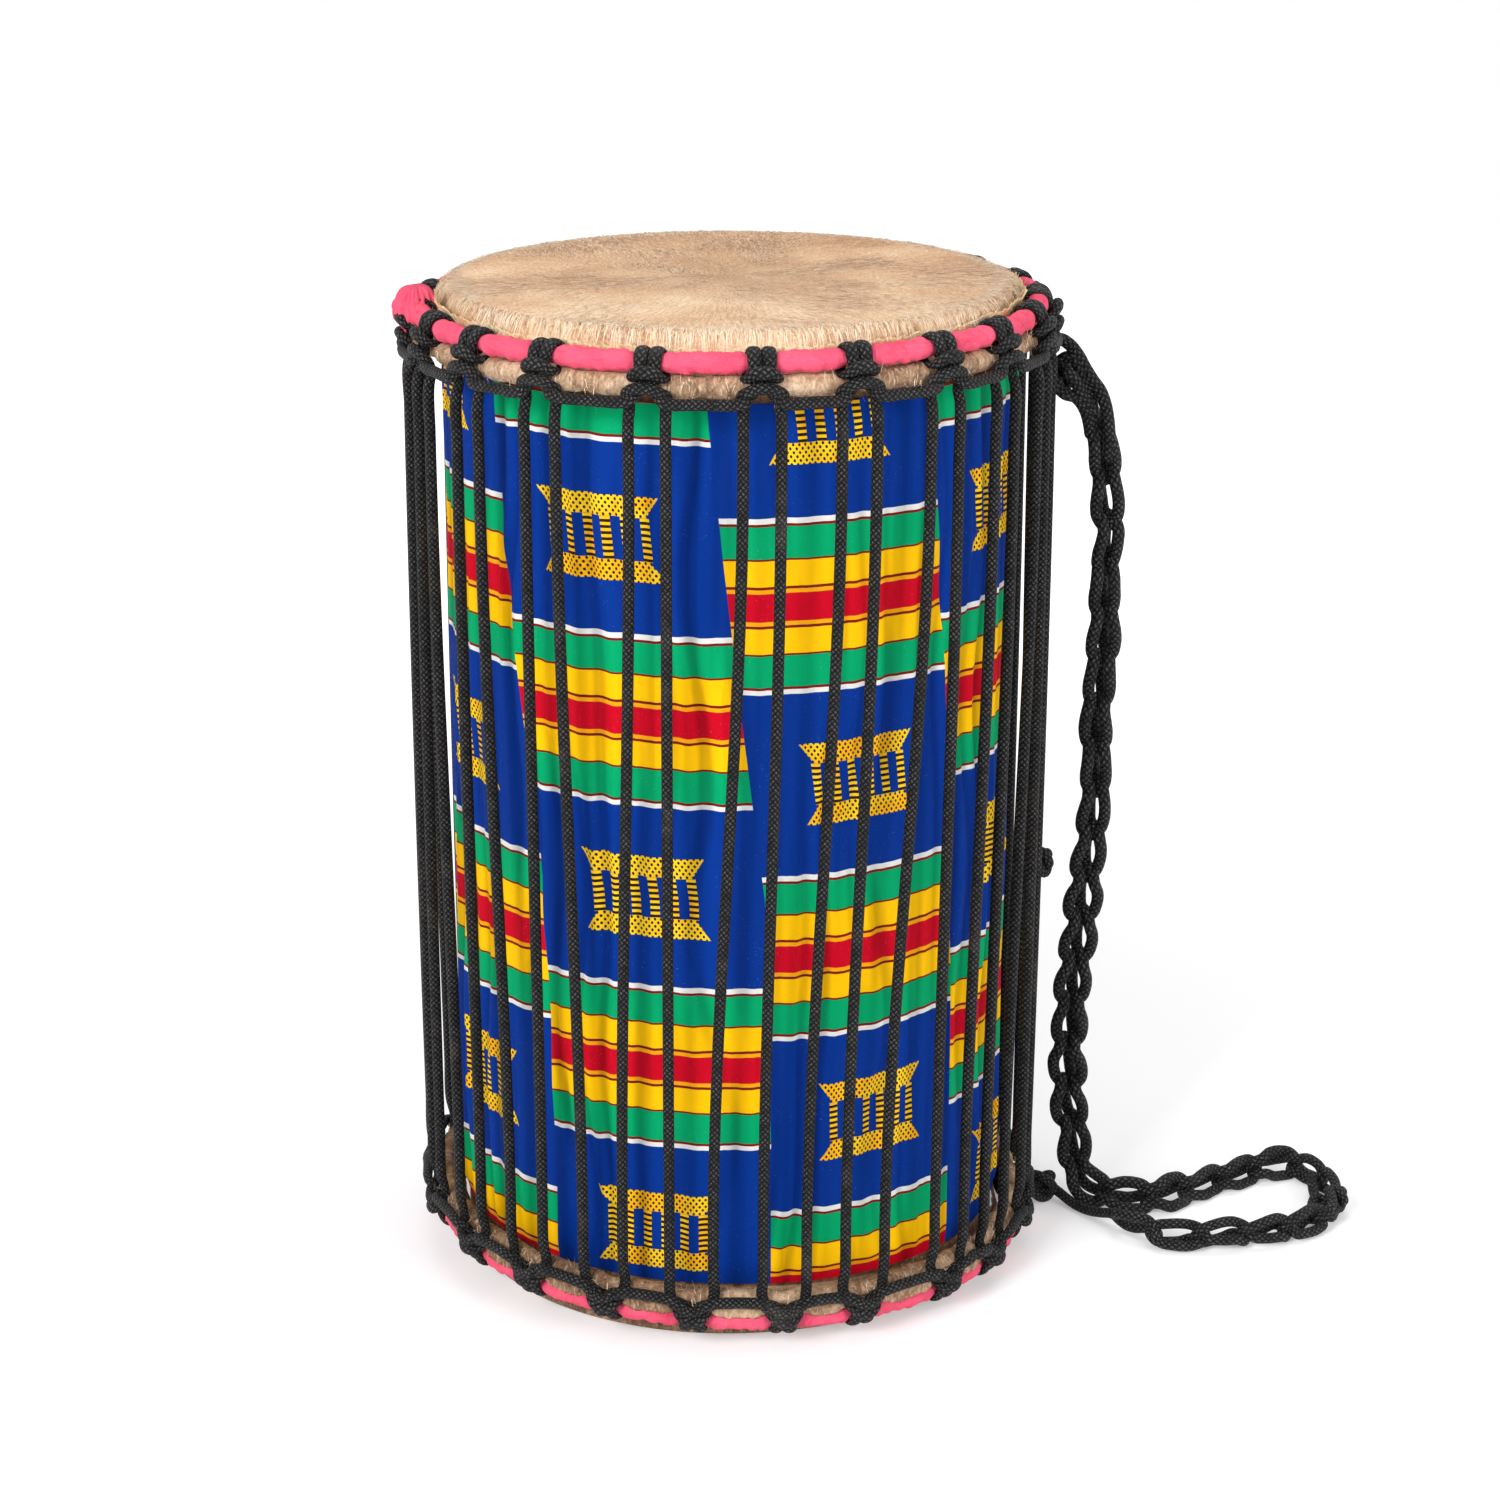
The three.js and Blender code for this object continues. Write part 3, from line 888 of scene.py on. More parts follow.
@dataclass(frozen=True)
class Hair:
    """Short goat hair. Its texture's x picks the shade of each hair."""

    name: str = "hair"
    dark: Colour = (0.19, 0.08, 0.033)
    middle: Colour = (0.66, 0.4, 0.22)
    pale: Colour = (1.0, 0.89, 0.69)

    def build(self) -> bpy.types.Material:
        """Makes the hair, from dark to pale by hair.

        Returns:
            The finished material.
        """
        surface = Surface(self.name)
        shade, along = surface.uv()
        colour = shade.bands([(0.0, self.dark), (0.4, self.middle), (1.0, self.pale)])
        roughness = along * 0.2 + 0.5
        return surface.finish(colour, roughness, surface.noise(3000, 1), 0.02 * MM, Specular_IOR_Level=0.3)


@dataclass(frozen=True)
class WoundCloth:
    """Pink cotton strip, wound round an iron ring."""

    name: str = "pink_cotton"
    bright: Colour = (0.9, 0.105, 0.19)
    deep: Colour = (0.66, 0.035, 0.095)
    faded: Colour = (0.95, 0.45, 0.5)
    threads: float = 1.6
    relief: float = 0.3 * MM

    def build(self) -> bpy.types.Material:
        """Makes the pink cloth with its weave and creases.

        Returns:
            The finished material.
        """
        surface = Surface(self.name)
        around, along = surface.uv()
        rate = self.threads / MM * math.tau
        weave = ((around * rate).sine() + (along * rate).sine()) * 0.2
        crease = surface.noise(1, 3, (around * 110.0, along * 420.0, 0.0))
        tone = surface.noise(60, 3)
        shade = tone.between(0.35, 0.75) * 0.45 + crease.between(0.5, 0.8) * 0.4
        colour = surface.mix(shade, self.bright, self.deep)
        colour = surface.mix(surface.noise(900, 1).between(0.68, 0.8) * 0.3, colour, self.faded)
        return surface.finish(colour, 0.8, weave + crease * 3.0, self.relief, Specular_IOR_Level=0.25)


@dataclass(frozen=True)
class ForgedIron:
    """Bent iron bar with scale and rust."""

    name: str = "forged_iron"
    scale: Colour = (0.035, 0.032, 0.03)
    rust: Colour = (0.19, 0.07, 0.025)

    def build(self) -> bpy.types.Material:
        """Makes the iron with patches of rust.

        Returns:
            The finished material.
        """
        surface = Surface(self.name)
        rust = surface.noise(90, 5).between(0.48, 0.62)
        colour = surface.mix(rust, self.scale, self.rust)
        return surface.finish(colour, rust * 0.35 + 0.45, surface.noise(500, 4), 0.25 * MM, Metallic=0.7)


@dataclass(frozen=True)
class CarvedWood:
    """Redwood log, turned outside and left rough from the adze inside."""

    name: str = "carved_wood"
    dark: Colour = (0.13, 0.055, 0.022)
    light: Colour = (0.33, 0.17, 0.075)

    def build(self) -> bpy.types.Material:
        """Makes the wood with upright grain.

        Returns:
            The finished material.
        """
        surface = Surface(self.name)
        across, deep, up = surface.place()
        grain = surface.noise(1, 5, (across * 260.0, deep * 260.0, up * 9.0))
        pores = surface.noise(1, 2, (across * 1400.0, deep * 1400.0, up * 60.0)).between(0.55, 0.7)
        colour = surface.mix(grain.between(0.3, 0.7), self.dark, self.light)
        colour = surface.mix(pores * 0.5, colour, self.dark)
        return surface.finish(colour, grain * 0.25 + 0.55, grain + pores * -0.4, 0.4 * MM)


@dataclass(frozen=True)
class StudioFloor:
    """White paper sweep that keeps the drum's shadow and turns white in the camera's eye and in gloss."""

    name: str = "paper_floor"
    colour: Colour = (0.86, 0.86, 0.87)
    near_lift: float = 0.27
    far_lift: float = 0.75
    near: float = 0.3
    far: float = 1.3

    def build(self) -> bpy.types.Material:
        """Makes the paper: a matte surface that glows a little for camera and glossy rays.

        Returns:
            The finished material.
        """
        surface = Surface(self.name)
        across, deep, _ = surface.place()
        reach = (across * across + deep * deep).power(0.5).between(self.near, self.far)
        lift = reach * (self.far_lift - self.near_lift) + self.near_lift
        strength = plain_sight(surface.tree) * lift
        surface.link(strength.socket, surface.shader.inputs["Emission Strength"])
        surface.shader.inputs["Emission Color"].default_value = (1, 1, 1, 1)
        return surface.finish(self.colour, 0.9, surface.noise(4000, 1), 0.02 * MM, Specular_IOR_Level=0.1)


# The drum's places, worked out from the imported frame


class EndName(Enum):
    """The drum's two ends."""

    TOP = "top"
    BOTTOM = "bottom"


@dataclass
class DrumEnd:
    """One end of the drum: its crown ring's place and lean, and where each hitch sits on it."""

    name: EndName
    first_share: float
    wander_shares: Sequence[float]
    crown_bar: float = 6 * MM
    crown_depth: float = field(init=False)
    radius: float = field(init=False)
    slope: float = field(init=False)
    face: float = field(init=False)
    inward: int = field(init=False)

    def __post_init__(self) -> None:
        """Reads the ring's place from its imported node."""
        low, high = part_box(f"{self.name.value}_crown_ring")
        self.inward = -1 if self.name is EndName.TOP else 1
        self.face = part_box("top_head")[1].z if self.name is EndName.TOP else 0.0
        self.radius = (high.x - low.x - self.crown_bar) / 2
        lean = (high.z - low.z - self.crown_bar) / 2 / self.radius
        self.slope = lean if self.name is EndName.TOP else -lean
        self.crown_depth = abs((low.z + high.z) / 2 - self.face)

    @property
    def hitches(self) -> int:
        """How many hitches the ring carries."""
        return len(self.wander_shares)

    def hitch_angle(self, index: int) -> float:
        """The angle of a hitch. One past the last is the first again, a turn further on."""
        pitch = math.tau / self.hitches
        return (self.first_share + index + self.wander_shares[index % self.hitches]) * pitch

    def point(self, angle: np.ndarray, out: np.ndarray, up: np.ndarray) -> np.ndarray:
        """Points by the crown ring's bar.

        Args:
            angle: The angle round the drum.
            out: The distance outward from the middle of the bar.
            up: The distance from the middle of the bar towards the nearer skin.

        Returns:
            The points, with the coordinates last.
        """
        reach = self.radius + out
        height = self.face + self.inward * (self.crown_depth - up) + self.slope * (reach * np.sin(angle))
        return about_drum(angle, reach, height)

    def nearest_hitch(self, angle: np.ndarray) -> np.ndarray:
        """How far along the ring's bar each angle lies from the nearest hitch, in metres.

        Args:
            angle: Angles round the drum.

        Returns:
            The distances.
        """
        middles = np.array([self.hitch_angle(index) for index in range(self.hitches)])
        apart = (angle[..., None] - middles + math.pi) % math.tau - math.pi
        return np.abs(apart).min(axis=-1) * self.radius


TOP = DrumEnd(
    EndName.TOP,
    0.187,
    (0.13, 0.1, 0.1, 0.04, 0.03, -0.02, 0.03, 0.05, -0.03, 0.02, 0,
     -0.02, 0.03, -0.04, 0, 0.02, -0.06, -0.11, -0.14, -0.13, 0.02),
)
BOTTOM = DrumEnd(
    EndName.BOTTOM,
    0.589,
    (-0.01, -0.13, -0.01, -0.16, -0.08, -0.03, 0.04, 0, -0.02, 0.03, 0.02,
     -0.03, 0.02, 0.04, 0, -0.02, 0.05, 0.13, 0.1, 0.06, 0.02),
)


# Pieces


def place_piece(
    piece: bpy.types.Object, finish: bpy.types.Material, slot: str, *nodes: str
) -> bpy.types.Object:
    """Dresses a new piece and ties it to the drum.

    Args:
        piece: The piece.
        finish: Its material.
        slot: A name for the finish's slot, which is not used.
        *nodes: The CAD nodes that it stands for.

    Returns:
        The same piece.
    """
    piece.data.materials.clear()
    piece.data.materials.append(finish)
    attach(piece, BODY)
    if nodes:
        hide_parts(*nodes)
    log.info("piece %s: %d faces", piece.name, len(piece.data.polygons))
    return piece


def folded_hide(name: str, dark: Colour, middle: Colour, pale: Colour) -> Hide:
    """Hide that is turned round a ring: coarse, blotched, and hardly paler in front.

    Args:
        name: The finish's name.
        dark: The darkest of its hair.
        middle: The commonest.
        pale: The palest.

    Returns:
        The finish, not built yet.
    """
    return Hide(
        name, dark, middle, pale, strokes_round=300, strokes_along=120, pale_share=0.2, front_pale=0.1,
        relief=0.7 * MM, blotches=0.76, grain=0.36,
    )


@dataclass
class Finishes:
    """Every finish of the drum, made once."""

    rope: bpy.types.Material = field(default_factory=BraidedRope().build)
    cotton: bpy.types.Material = field(default_factory=PrintedCotton().build)
    head: bpy.types.Material = field(default_factory=Hide("head_hide").build)
    rim: bpy.types.Material = field(
        default_factory=folded_hide(
            "rim_hide", (0.1, 0.052, 0.03), (0.4, 0.245, 0.145), (0.82, 0.63, 0.45)
        ).build
    )
    # Painted shade: the foot hide is a darker copy of the rim hide, for the lower end, which sits in shadow.
    foot: bpy.types.Material = field(
        default_factory=folded_hide(
            "shaded_foot_hide", (0.06, 0.028, 0.014), (0.25, 0.14, 0.078), (0.62, 0.43, 0.28)
        ).build
    )
    edge: bpy.types.Material = field(
        default_factory=Hide(
            "trimmed_hide", (0.42, 0.25, 0.11), (0.7, 0.5, 0.27), (0.9, 0.74, 0.48), strokes_round=700,
            strokes_along=120, pale_share=0.5, relief=0.6 * MM,
        ).build
    )
    hair: bpy.types.Material = field(default_factory=Hair().build)
    pink: bpy.types.Material = field(default_factory=WoundCloth().build)
    iron: bpy.types.Material = field(default_factory=ForgedIron().build)
    wood: bpy.types.Material = field(default_factory=CarvedWood().build)


@dataclass
class Studio:
    """The camera, the lamps and the paper sweep."""

    distance: float = 1477.4 * MM
    eye_height: float = 725.0 * MM
    tip: float = math.radians(18.19)
    lens: float = 79.56
    shift: float = 0.01387
    sensor: float = 36
    aim_height: float = 0.25
    lamps: Sequence[tuple[str, Sequence[float], float, float]] = (
        ("key_softbox", (-1.2, -1.8, 1.3), 0.9, 46),
        ("fill_softbox", (1.6, -1.6, 0.9), 1.2, 30),
        ("top_softbox", (0.1, 0.6, 2.1), 1.6, 13),
    )
    room_light: float = 0.45
    room_seen: float = 0.55
    floor_half: float = 3.0
    floor_points: int = 9

    def set_camera(self) -> None:
        """Puts the camera where the photograph was taken from."""
        data = bpy.data.cameras.new("camera")
        data.lens = self.lens
        data.sensor_width = self.sensor
        data.shift_x = self.shift
        camera = bpy.data.objects.new("camera", data)
        camera.location = (0, -self.distance, self.eye_height)
        camera.rotation_euler = (math.pi / 2 - self.tip, 0, 0)
        bpy.context.scene.collection.objects.link(camera)
        bpy.context.scene.camera = camera

    def _lamp(self, name: str, place: Sequence[float], size: float, power: float) -> None:
        """Adds a square softbox that faces the drum.

        Args:
            name: The lamp's name.
            place: Where it stands.
            size: The length of its sides.
            power: Its power in watts.
        """
        data = bpy.data.lights.new(name, "AREA")
        data.size = size
        data.energy = power
        lamp = bpy.data.objects.new(name, data)
        lamp.location = place
        aim = Vector((0, 0, self.aim_height)) - Vector(place)
        lamp.rotation_euler = aim.to_track_quat("-Z", "Y").to_euler()
        bpy.context.scene.collection.objects.link(lamp)

    def set_light(self) -> None:
        """Hangs the softboxes and fills the room with even light."""
        for name, place, size, power in self.lamps:
            self._lamp(name, place, size, power)
        world = bpy.data.worlds.new("studio")
        bpy.context.scene.world = world
        world.use_nodes = True
        tree = world.node_tree
        strength = plain_sight(tree) * self.room_seen + self.room_light
        background = tree.nodes["Background"]
        background.inputs["Color"].default_value = (1, 1, 1, 1)
        tree.links.new(strength.socket, background.inputs["Strength"])
        bpy.context.scene.view_settings.view_transform = "Standard"

    def lay_floor(self) -> None:
        """Lays the paper under the drum."""
        steps = np.linspace(-self.floor_half, self.floor_half, self.floor_points)
        across, deep = np.meshgrid(steps, steps, indexing="ij")
        points = np.stack([across, deep, np.zeros_like(across)], axis=-1)
        floor = grid_mesh("floor", points, points[..., :2])
        floor.data.materials.append(StudioFloor().build())


@dataclass
class CarryingChain:
    """One rope worked into a chain of loops, which hangs down the right side and turns back on the ground."""

    rope: float = 5 * MM
    slack_rope: float = 5.9 * MM
    pitch: float = 21.7 * MM
    half_width: float = 4.9 * MM
    width: float = 15 * MM
    floor_rope: float = 5.1 * MM
    loop_spread: Sequence[float] = (0.94, 1.14)
    floor_spread: float = 0.2
    slack_spread: float = 0.3
    sway: float = 0.22
    sway_rate: float = 0.8
    stray: float = 0.2
    last_loop: float = 1.04
    knot_points: int = 90
    knot_lobes: int = 3
    knot_tube: float = 0.42
    knot_rope: float = 0.92
    knot_lift: float = 0.47
    start_ring: float = 4.2 * MM
    start_offset: Sequence[float] = (1.5 * MM, -2 * MM, -2 * MM)
    foot_ring: float = 4.3 * MM
    foot_aside: float = -0.6 * MM
    bend_ring: float = 3.0 * MM
    bend_middle: Sequence[float] = (0.2985, -0.001, 0.0085)
    splice_ring: float = 3.6 * MM
    slack_from: Sequence[float] = (0.17, 0.24)
    floor_from: Sequence[float] = (0.4, 0.46)
    seed: int = 11
    drape: Sequence[Sequence[float]] = (
        (0.325, 0.0), (0.350, 1.7 * MM), (0.369, 4.4 * MM),
        (0.385, 8.6 * MM), (0.400, 9.4 * MM), (0.411, 5.0 * MM),
    )
    start_loops: Sequence[Sequence[Sequence[float]]] = (
        (
            (144.0, -2.0, 428.0), (145.7, -0.5, 433.1), (149.4, 1.0, 434.3), (153.2, 1.0, 432.2),
            (157.4, 0.5, 427.4), (161.0, 0.0, 421.2), (164.6, -0.5, 415.7), (168.0, -0.8, 411.1),
            (170.4, -1.0, 405.2), (172.0, -0.6, 398.0), (173.0, 0.6, 390.4), (173.4, 2.6, 383.0),
            (173.0, 5.0, 377.0),
        ),
        (
            (149.5, 4.5, 414.0), (148.5, 3.5, 420.0), (151.6, 2.0, 425.4), (155.2, 0.5, 426.0),
            (158.2, 0.0, 421.6), (160.7, 0.5, 415.7), (163.3, 1.5, 409.7), (164.9, 2.5, 403.2),
            (165.6, 3.5, 396.8), (166.4, 4.5, 389.4),
        ),
        (
            (147.7, -3.5, 418.9), (148.8, -4.0, 413.4), (152.1, -4.0, 410.2), (156.4, -3.0, 408.8),
            (159.8, -1.5, 405.1), (162.3, 0.0, 400.0), (163.9, 2.0, 394.5), (165.1, 4.0, 387.6),
        ),
        (
            (149.9, -4.0, 421.0), (153.7, -4.5, 418.9), (157.1, -4.0, 414.7), (159.6, -3.0, 409.7),
            (162.5, -1.0, 405.1), (165.0, 1.5, 400.0),
        ),
    )
    route: Sequence[Sequence[float]] = (
        (0.156, 0.003, 0.411), (0.1566, 0.0032, 0.400), (0.162, 0.0055, 0.385), (0.1685, 0.007, 0.369),
        (0.1725, 0.0075, 0.350), (0.174, 0.008, 0.325), (0.1745, 0.009, 0.291), (0.173, 0.0105, 0.250),
        (0.1735, 0.012, 0.210), (0.1715, 0.013, 0.185), (0.169, 0.0145, 0.148), (0.166, 0.016, 0.106),
        (0.166, 0.0165, 0.075), (0.167, 0.017, 0.052), (0.1695, 0.0175, 0.033), (0.1715, 0.0165, 0.019),
        (0.1775, 0.0125, 0.009), (0.187, 0.0076, 0.0071), (0.198, 0.0034, 0.0071), (0.210, 0.0044, 0.0071),
        (0.226, 0.013, 0.0071), (0.242, 0.0235, 0.0071), (0.258, 0.0326, 0.0071), (0.2745, 0.041, 0.0071),
        (0.287, 0.041, 0.0071), (0.294, 0.026, 0.0071), (0.293, 0.0, 0.0071), (0.285, -0.020, 0.0071),
        (0.266, -0.031, 0.0071), (0.248, -0.0355, 0.0071), (0.230, -0.0385, 0.0071), (0.213, -0.039, 0.0071),
        (0.200, -0.033, 0.0071), (0.1925, -0.0255, 0.0071), (0.1885, -0.0186, 0.0071),
    )
    tail_route: Sequence[Sequence[float]] = (
        (0.1882, -0.0181, 0.0071), (0.1863, -0.0148, 0.0069), (0.182, -0.0095, 0.0048),
        (0.176, -0.003, 0.003), (0.169, 0.0055, 0.003), (0.1628, 0.013, 0.0053),
    )
    tail_tuck: Sequence[Sequence[float]] = ((0.1600, 0.0155, 0.0065), (0.1575, 0.0165, 0.0078))

    def _stitch(self, index: int, spread: float) -> list[tuple[float, float, float]]:
        """The places of one loop of the chain: along it in pitches, across it, and towards its front.

        Args:
            index: The loop's number.
            spread: How far its legs spread to each side.

        Returns:
            The places, from the back of the chain round the loop and back again.
        """
        rope = self.slack_rope
        half = [
            (0.9, 0.52 * rope, 0.0),
            (1.12, 0.66 * rope, 0.62 * rope),
            (1.38, 0.92 * spread, 0.5 * rope),
            (1.64, spread, 0.22 * rope),
            (1.9, 0.8 * spread, 0.0),
        ]
        back = [(0.15, 0.1 * rope, -0.8 * rope), (0.5, 0.0, -0.86 * rope), (0.82, -0.2 * rope, -0.7 * rope)]
        left = [(along, -across, front) for along, across, front in half]
        places = [*back, *left, (2.06, 0.0, -0.06 * rope), *reversed(half), (1.0, 0.3 * rope, -0.66 * rope)]
        return [(along + index, across, front) for along, across, front in places]

    def _line(self) -> np.ndarray:
        """The middle of the whole chain, a millimetre between points, drawn outward where it hangs slack.

        Returns:
            The line's points.
        """
        route = np.array(self.route)
        route[:, 0] += np.interp(route[:, 2], *np.transpose(self.drape))
        return smooth_line(route, MM)

    def _tail_line(self) -> np.ndarray:
        """The middle of the plain rope at the chain's end, as far as the middle of its knot."""
        return smooth_line(np.array([*self.tail_route, *self.tail_tuck]), MM)

    def make_chain(self, finish: bpy.types.Material) -> bpy.types.Object:
        """Works the rope into its chain along the route.

        Args:
            finish: The rope's finish.

        Returns:
            The chain.
        """
        centre = self._line()
        run = run_along(centre)
        along = tangents(centre, False)
        front = carried_normals(centre, (0, -1, 0))
        loops = round(run[-1] / self.pitch) - 1
        pitch = run[-1] / (loops + self.last_loop)
        random = np.random.default_rng(self.seed)
        rows = []
        for index in range(loops):
            start = np.array(index * pitch)
            loose = float(smoothstep(*self.floor_from, start))
            opened = float(smoothstep(*self.slack_from, start)) * (1 - loose)
            wider = 1 + self.floor_spread * loose + self.slack_spread * opened
            spread = self.half_width * random.uniform(*self.loop_spread) * wider
            twist = self.sway * math.sin(index * self.sway_rate)
            twist += random.uniform(-self.stray, self.stray) * (1 + loose)
            half = (self.slack_rope + (self.floor_rope - self.slack_rope) * loose) / 2
            for place, across, out in self._stitch(index, spread):
                at = min(place * pitch, run[-1])
                face = row_at(run, front, at)
                side = np.cross(row_at(run, along, at), face)
                sideways = across * math.cos(twist) - out * math.sin(twist)
                outward = out * math.cos(twist) + across * math.sin(twist)
                point = row_at(run, centre, at) + side * sideways + face * outward
                point[2] = max(point[2], half)
                rows.append((*point, half))
        line = smooth_line(np.array(rows), 1.2 * MM)
        normals = carried_normals(line[:, :3], (0, -1, 0))
        chain = rope_mesh("carrying_chain", np.hstack([line, line[:, 3:4], normals]))
        return place_piece(chain, finish, "rope", "carry_chain")

    def make_tail(self, finish: bpy.types.Material) -> bpy.types.Object:
        """Lays the plain rope from the chain's last loop to the drum's foot."""
        tail = free_rope("chain_end", self._tail_line(), self.rope, (0, 0, 1))
        return place_piece(tail, finish, "rope", "chain_tail")

    def make_knot(
        self,
        name: str,
        node: str,
        finish: bpy.types.Material,
        ring: float,
        deep: float = 1.15,
        aside: float = 0.0,
    ) -> bpy.types.Object:
        """Ties a tight knot where a CAD knot is, facing outward from the drum.

        Args:
            name: The piece's name.
            node: The CAD knot that it stands for.
            finish: The rope's finish.
            ring: The radius of the ring that the knot's rope winds about.
            deep: How thick the knot is outward from the drum, in thicknesses of its winding.
            aside: How far the knot is drawn outward from the CAD knot's middle.

        Returns:
            The knot.
        """
        low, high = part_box(node)
        middle = np.array((low + high) / 2)
        middle[0] += aside
        return place_piece(self._knot(name, middle, ring, deep), finish, "rope", node)

    def make_start(self, finish: bpy.types.Material) -> bpy.types.Object:
        """Makes the knot that starts the chain, and the slack loops between it and the upper hitch.

        Args:
            finish: The rope's finish.

        Returns:
            The knot with its loops.
        """
        low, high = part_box("chain_top_knot")
        middle = np.array((low + high) / 2) + np.array(self.start_offset)
        parts = [self._knot("start_knot", middle, self.start_ring, 1.3)]
        for number, route in enumerate(self.start_loops):
            line = smooth_line(np.array(route) * MM, MM)
            parts.append(free_rope(f"start_loop_{number}", line, self.slack_rope, (0, -1, 0)))
        return place_piece(joined("chain_knot", parts), finish, "rope", "chain_top_knot")

    def _knot(self, name: str, middle: np.ndarray, ring: float, deep: float) -> bpy.types.Object:
        """A knot of rope about a point, lying against the drum.

        Args:
            name: The piece's name.
            middle: Its middle.
            ring: The radius of the ring that its rope winds about.
            deep: How thick it is outward, in thicknesses of its winding.

        Returns:
            The knot.
        """
        outward = middle * (1, 1, 0)
        outward /= np.linalg.norm(outward)
        around = np.array([-outward[1], outward[0], 0])
        turn = np.linspace(0, math.tau, self.knot_points, endpoint=False)
        tube = self.knot_tube * self.rope
        reach = ring + tube * np.cos(self.knot_lobes * turn)
        points = (
            middle
            + around * (reach * np.cos(2 * turn))[:, None]
            + np.array([0, 0, 1]) * (reach * np.sin(2 * turn))[:, None]
            + outward * (deep * tube * np.sin(self.knot_lobes * turn))[:, None]
        )
        points[:, 2] += max(self.knot_lift * self.rope - points[:, 2].min(), 0)
        return free_rope(name, points, self.knot_rope * self.rope, (0, 0, 1), closed=True)

    def make(self, finish: bpy.types.Material) -> None:
        """Args:
            finish: The rope's finish.
        """
        chain = self.make_chain(finish)
        tail = self.make_tail(finish)
        top_knot = self.make_start(finish)
        tail_knot = self.make_knot("foot_knot", "tail_knot", finish, self.foot_ring, 2.5, self.foot_aside)
        bend_knot = self._knot("bend_knot", np.array(self.bend_middle), self.bend_ring, 1.2)
        place_piece(bend_knot, finish, "rope")
        centre = self._line()
        path = self._tail_line()


@dataclass
class HitchShape:
    """How the ropes lie at a hitch. Every place is (along, out, up, half the width, half the thickness) in
    millimetres from the middle of the crown ring's bar, from the outside of a half hitch to its middle."""

    run: float
    arch: float
    bar: float
    spread: float
    peak: float

    def ring_half(self) -> list[tuple[float, ...]]:
        """Half of a hitch of the ring rope: in along the ring, up behind the lacing, over the ring's cloth,
        down behind it, under it, and out to the bar across the front.

        Returns:
            The places.
        """
        return [
            (17.5, 8.6, -self.run, 2.5, 2.4),
            (self.spread + 3.2, 9.1, -self.run + 0.1, 2.6, 2.3),
            (self.spread - 0.6, 8.9, -self.run + 0.9, 2.6, 2.1),
            (0.62 * self.spread, 7.1, 0.45 * (-self.run) - 0.55 * (self.arch + 1), 2.4, 2.0),
            (2.7, 6.1, -self.arch - 0.6, 2.3, 2.0),
            (2.5, 5.5, self.bar - 2.6, 2.4, 1.9),
            (2.9, 5.2, 0.2, 2.9, 1.75),
            (3.05, 3.5, 3.7, 3.05, 1.7),
            (3.1, -0.3, 5.1, 3.1, 1.7),
            (3.4, -4.4, 2.8, 3.0, 1.8),
            (4.2, -5.2, -2.2, 2.6, 1.9),
            (5.5, -2.8, -5.7, 2.4, 1.6),
            (6.6, 1.8, -6.4, 2.4, 1.5),
            (5.9, 6.3, -5.5, 2.5, 2.0),
            (3.4, 8.6, self.bar - 0.6, 2.9, 2.3),
        ]

    def bar_middle(self) -> tuple[float, ...]:
        """The middle of the bar across the hitch's front."""
        return (0.0, 9.3, self.bar, 3.1, 2.4)

    def lacing_half(self) -> list[tuple[float, ...]]:
        """Half of the lacing's turn at a hitch: behind the ring rope, over its shoulder, across its neck.

        Returns:
            The places.
        """
        flare = self.spread + 0.7 if self.peak == 0 else self.spread - 1.4
        return [
            (self.spread, 6.6, -44.0, 2.5, 2.5),
            (self.spread, 6.5, -24.0, 2.5, 2.45),
            (self.spread, 5.1, -self.run - 0.4, 2.6, 1.9),
            (flare, 6.9, -self.run + 3.0 + 0.3 * self.peak, 2.5, 2.1),
            (0.76 * flare - self.peak, 8.8, -self.arch - 1.7 - 0.4 * self.peak, 2.5, 2.2),
            (0.36 * flare - 0.4 * self.peak, 9.8, -self.arch - 0.35, 2.5, 2.2),
        ]

    def lacing_middle(self) -> tuple[float, ...]:
        """The middle of the lacing's arch."""
        return (0.0, 10.1, -self.arch, 2.5, 2.3)


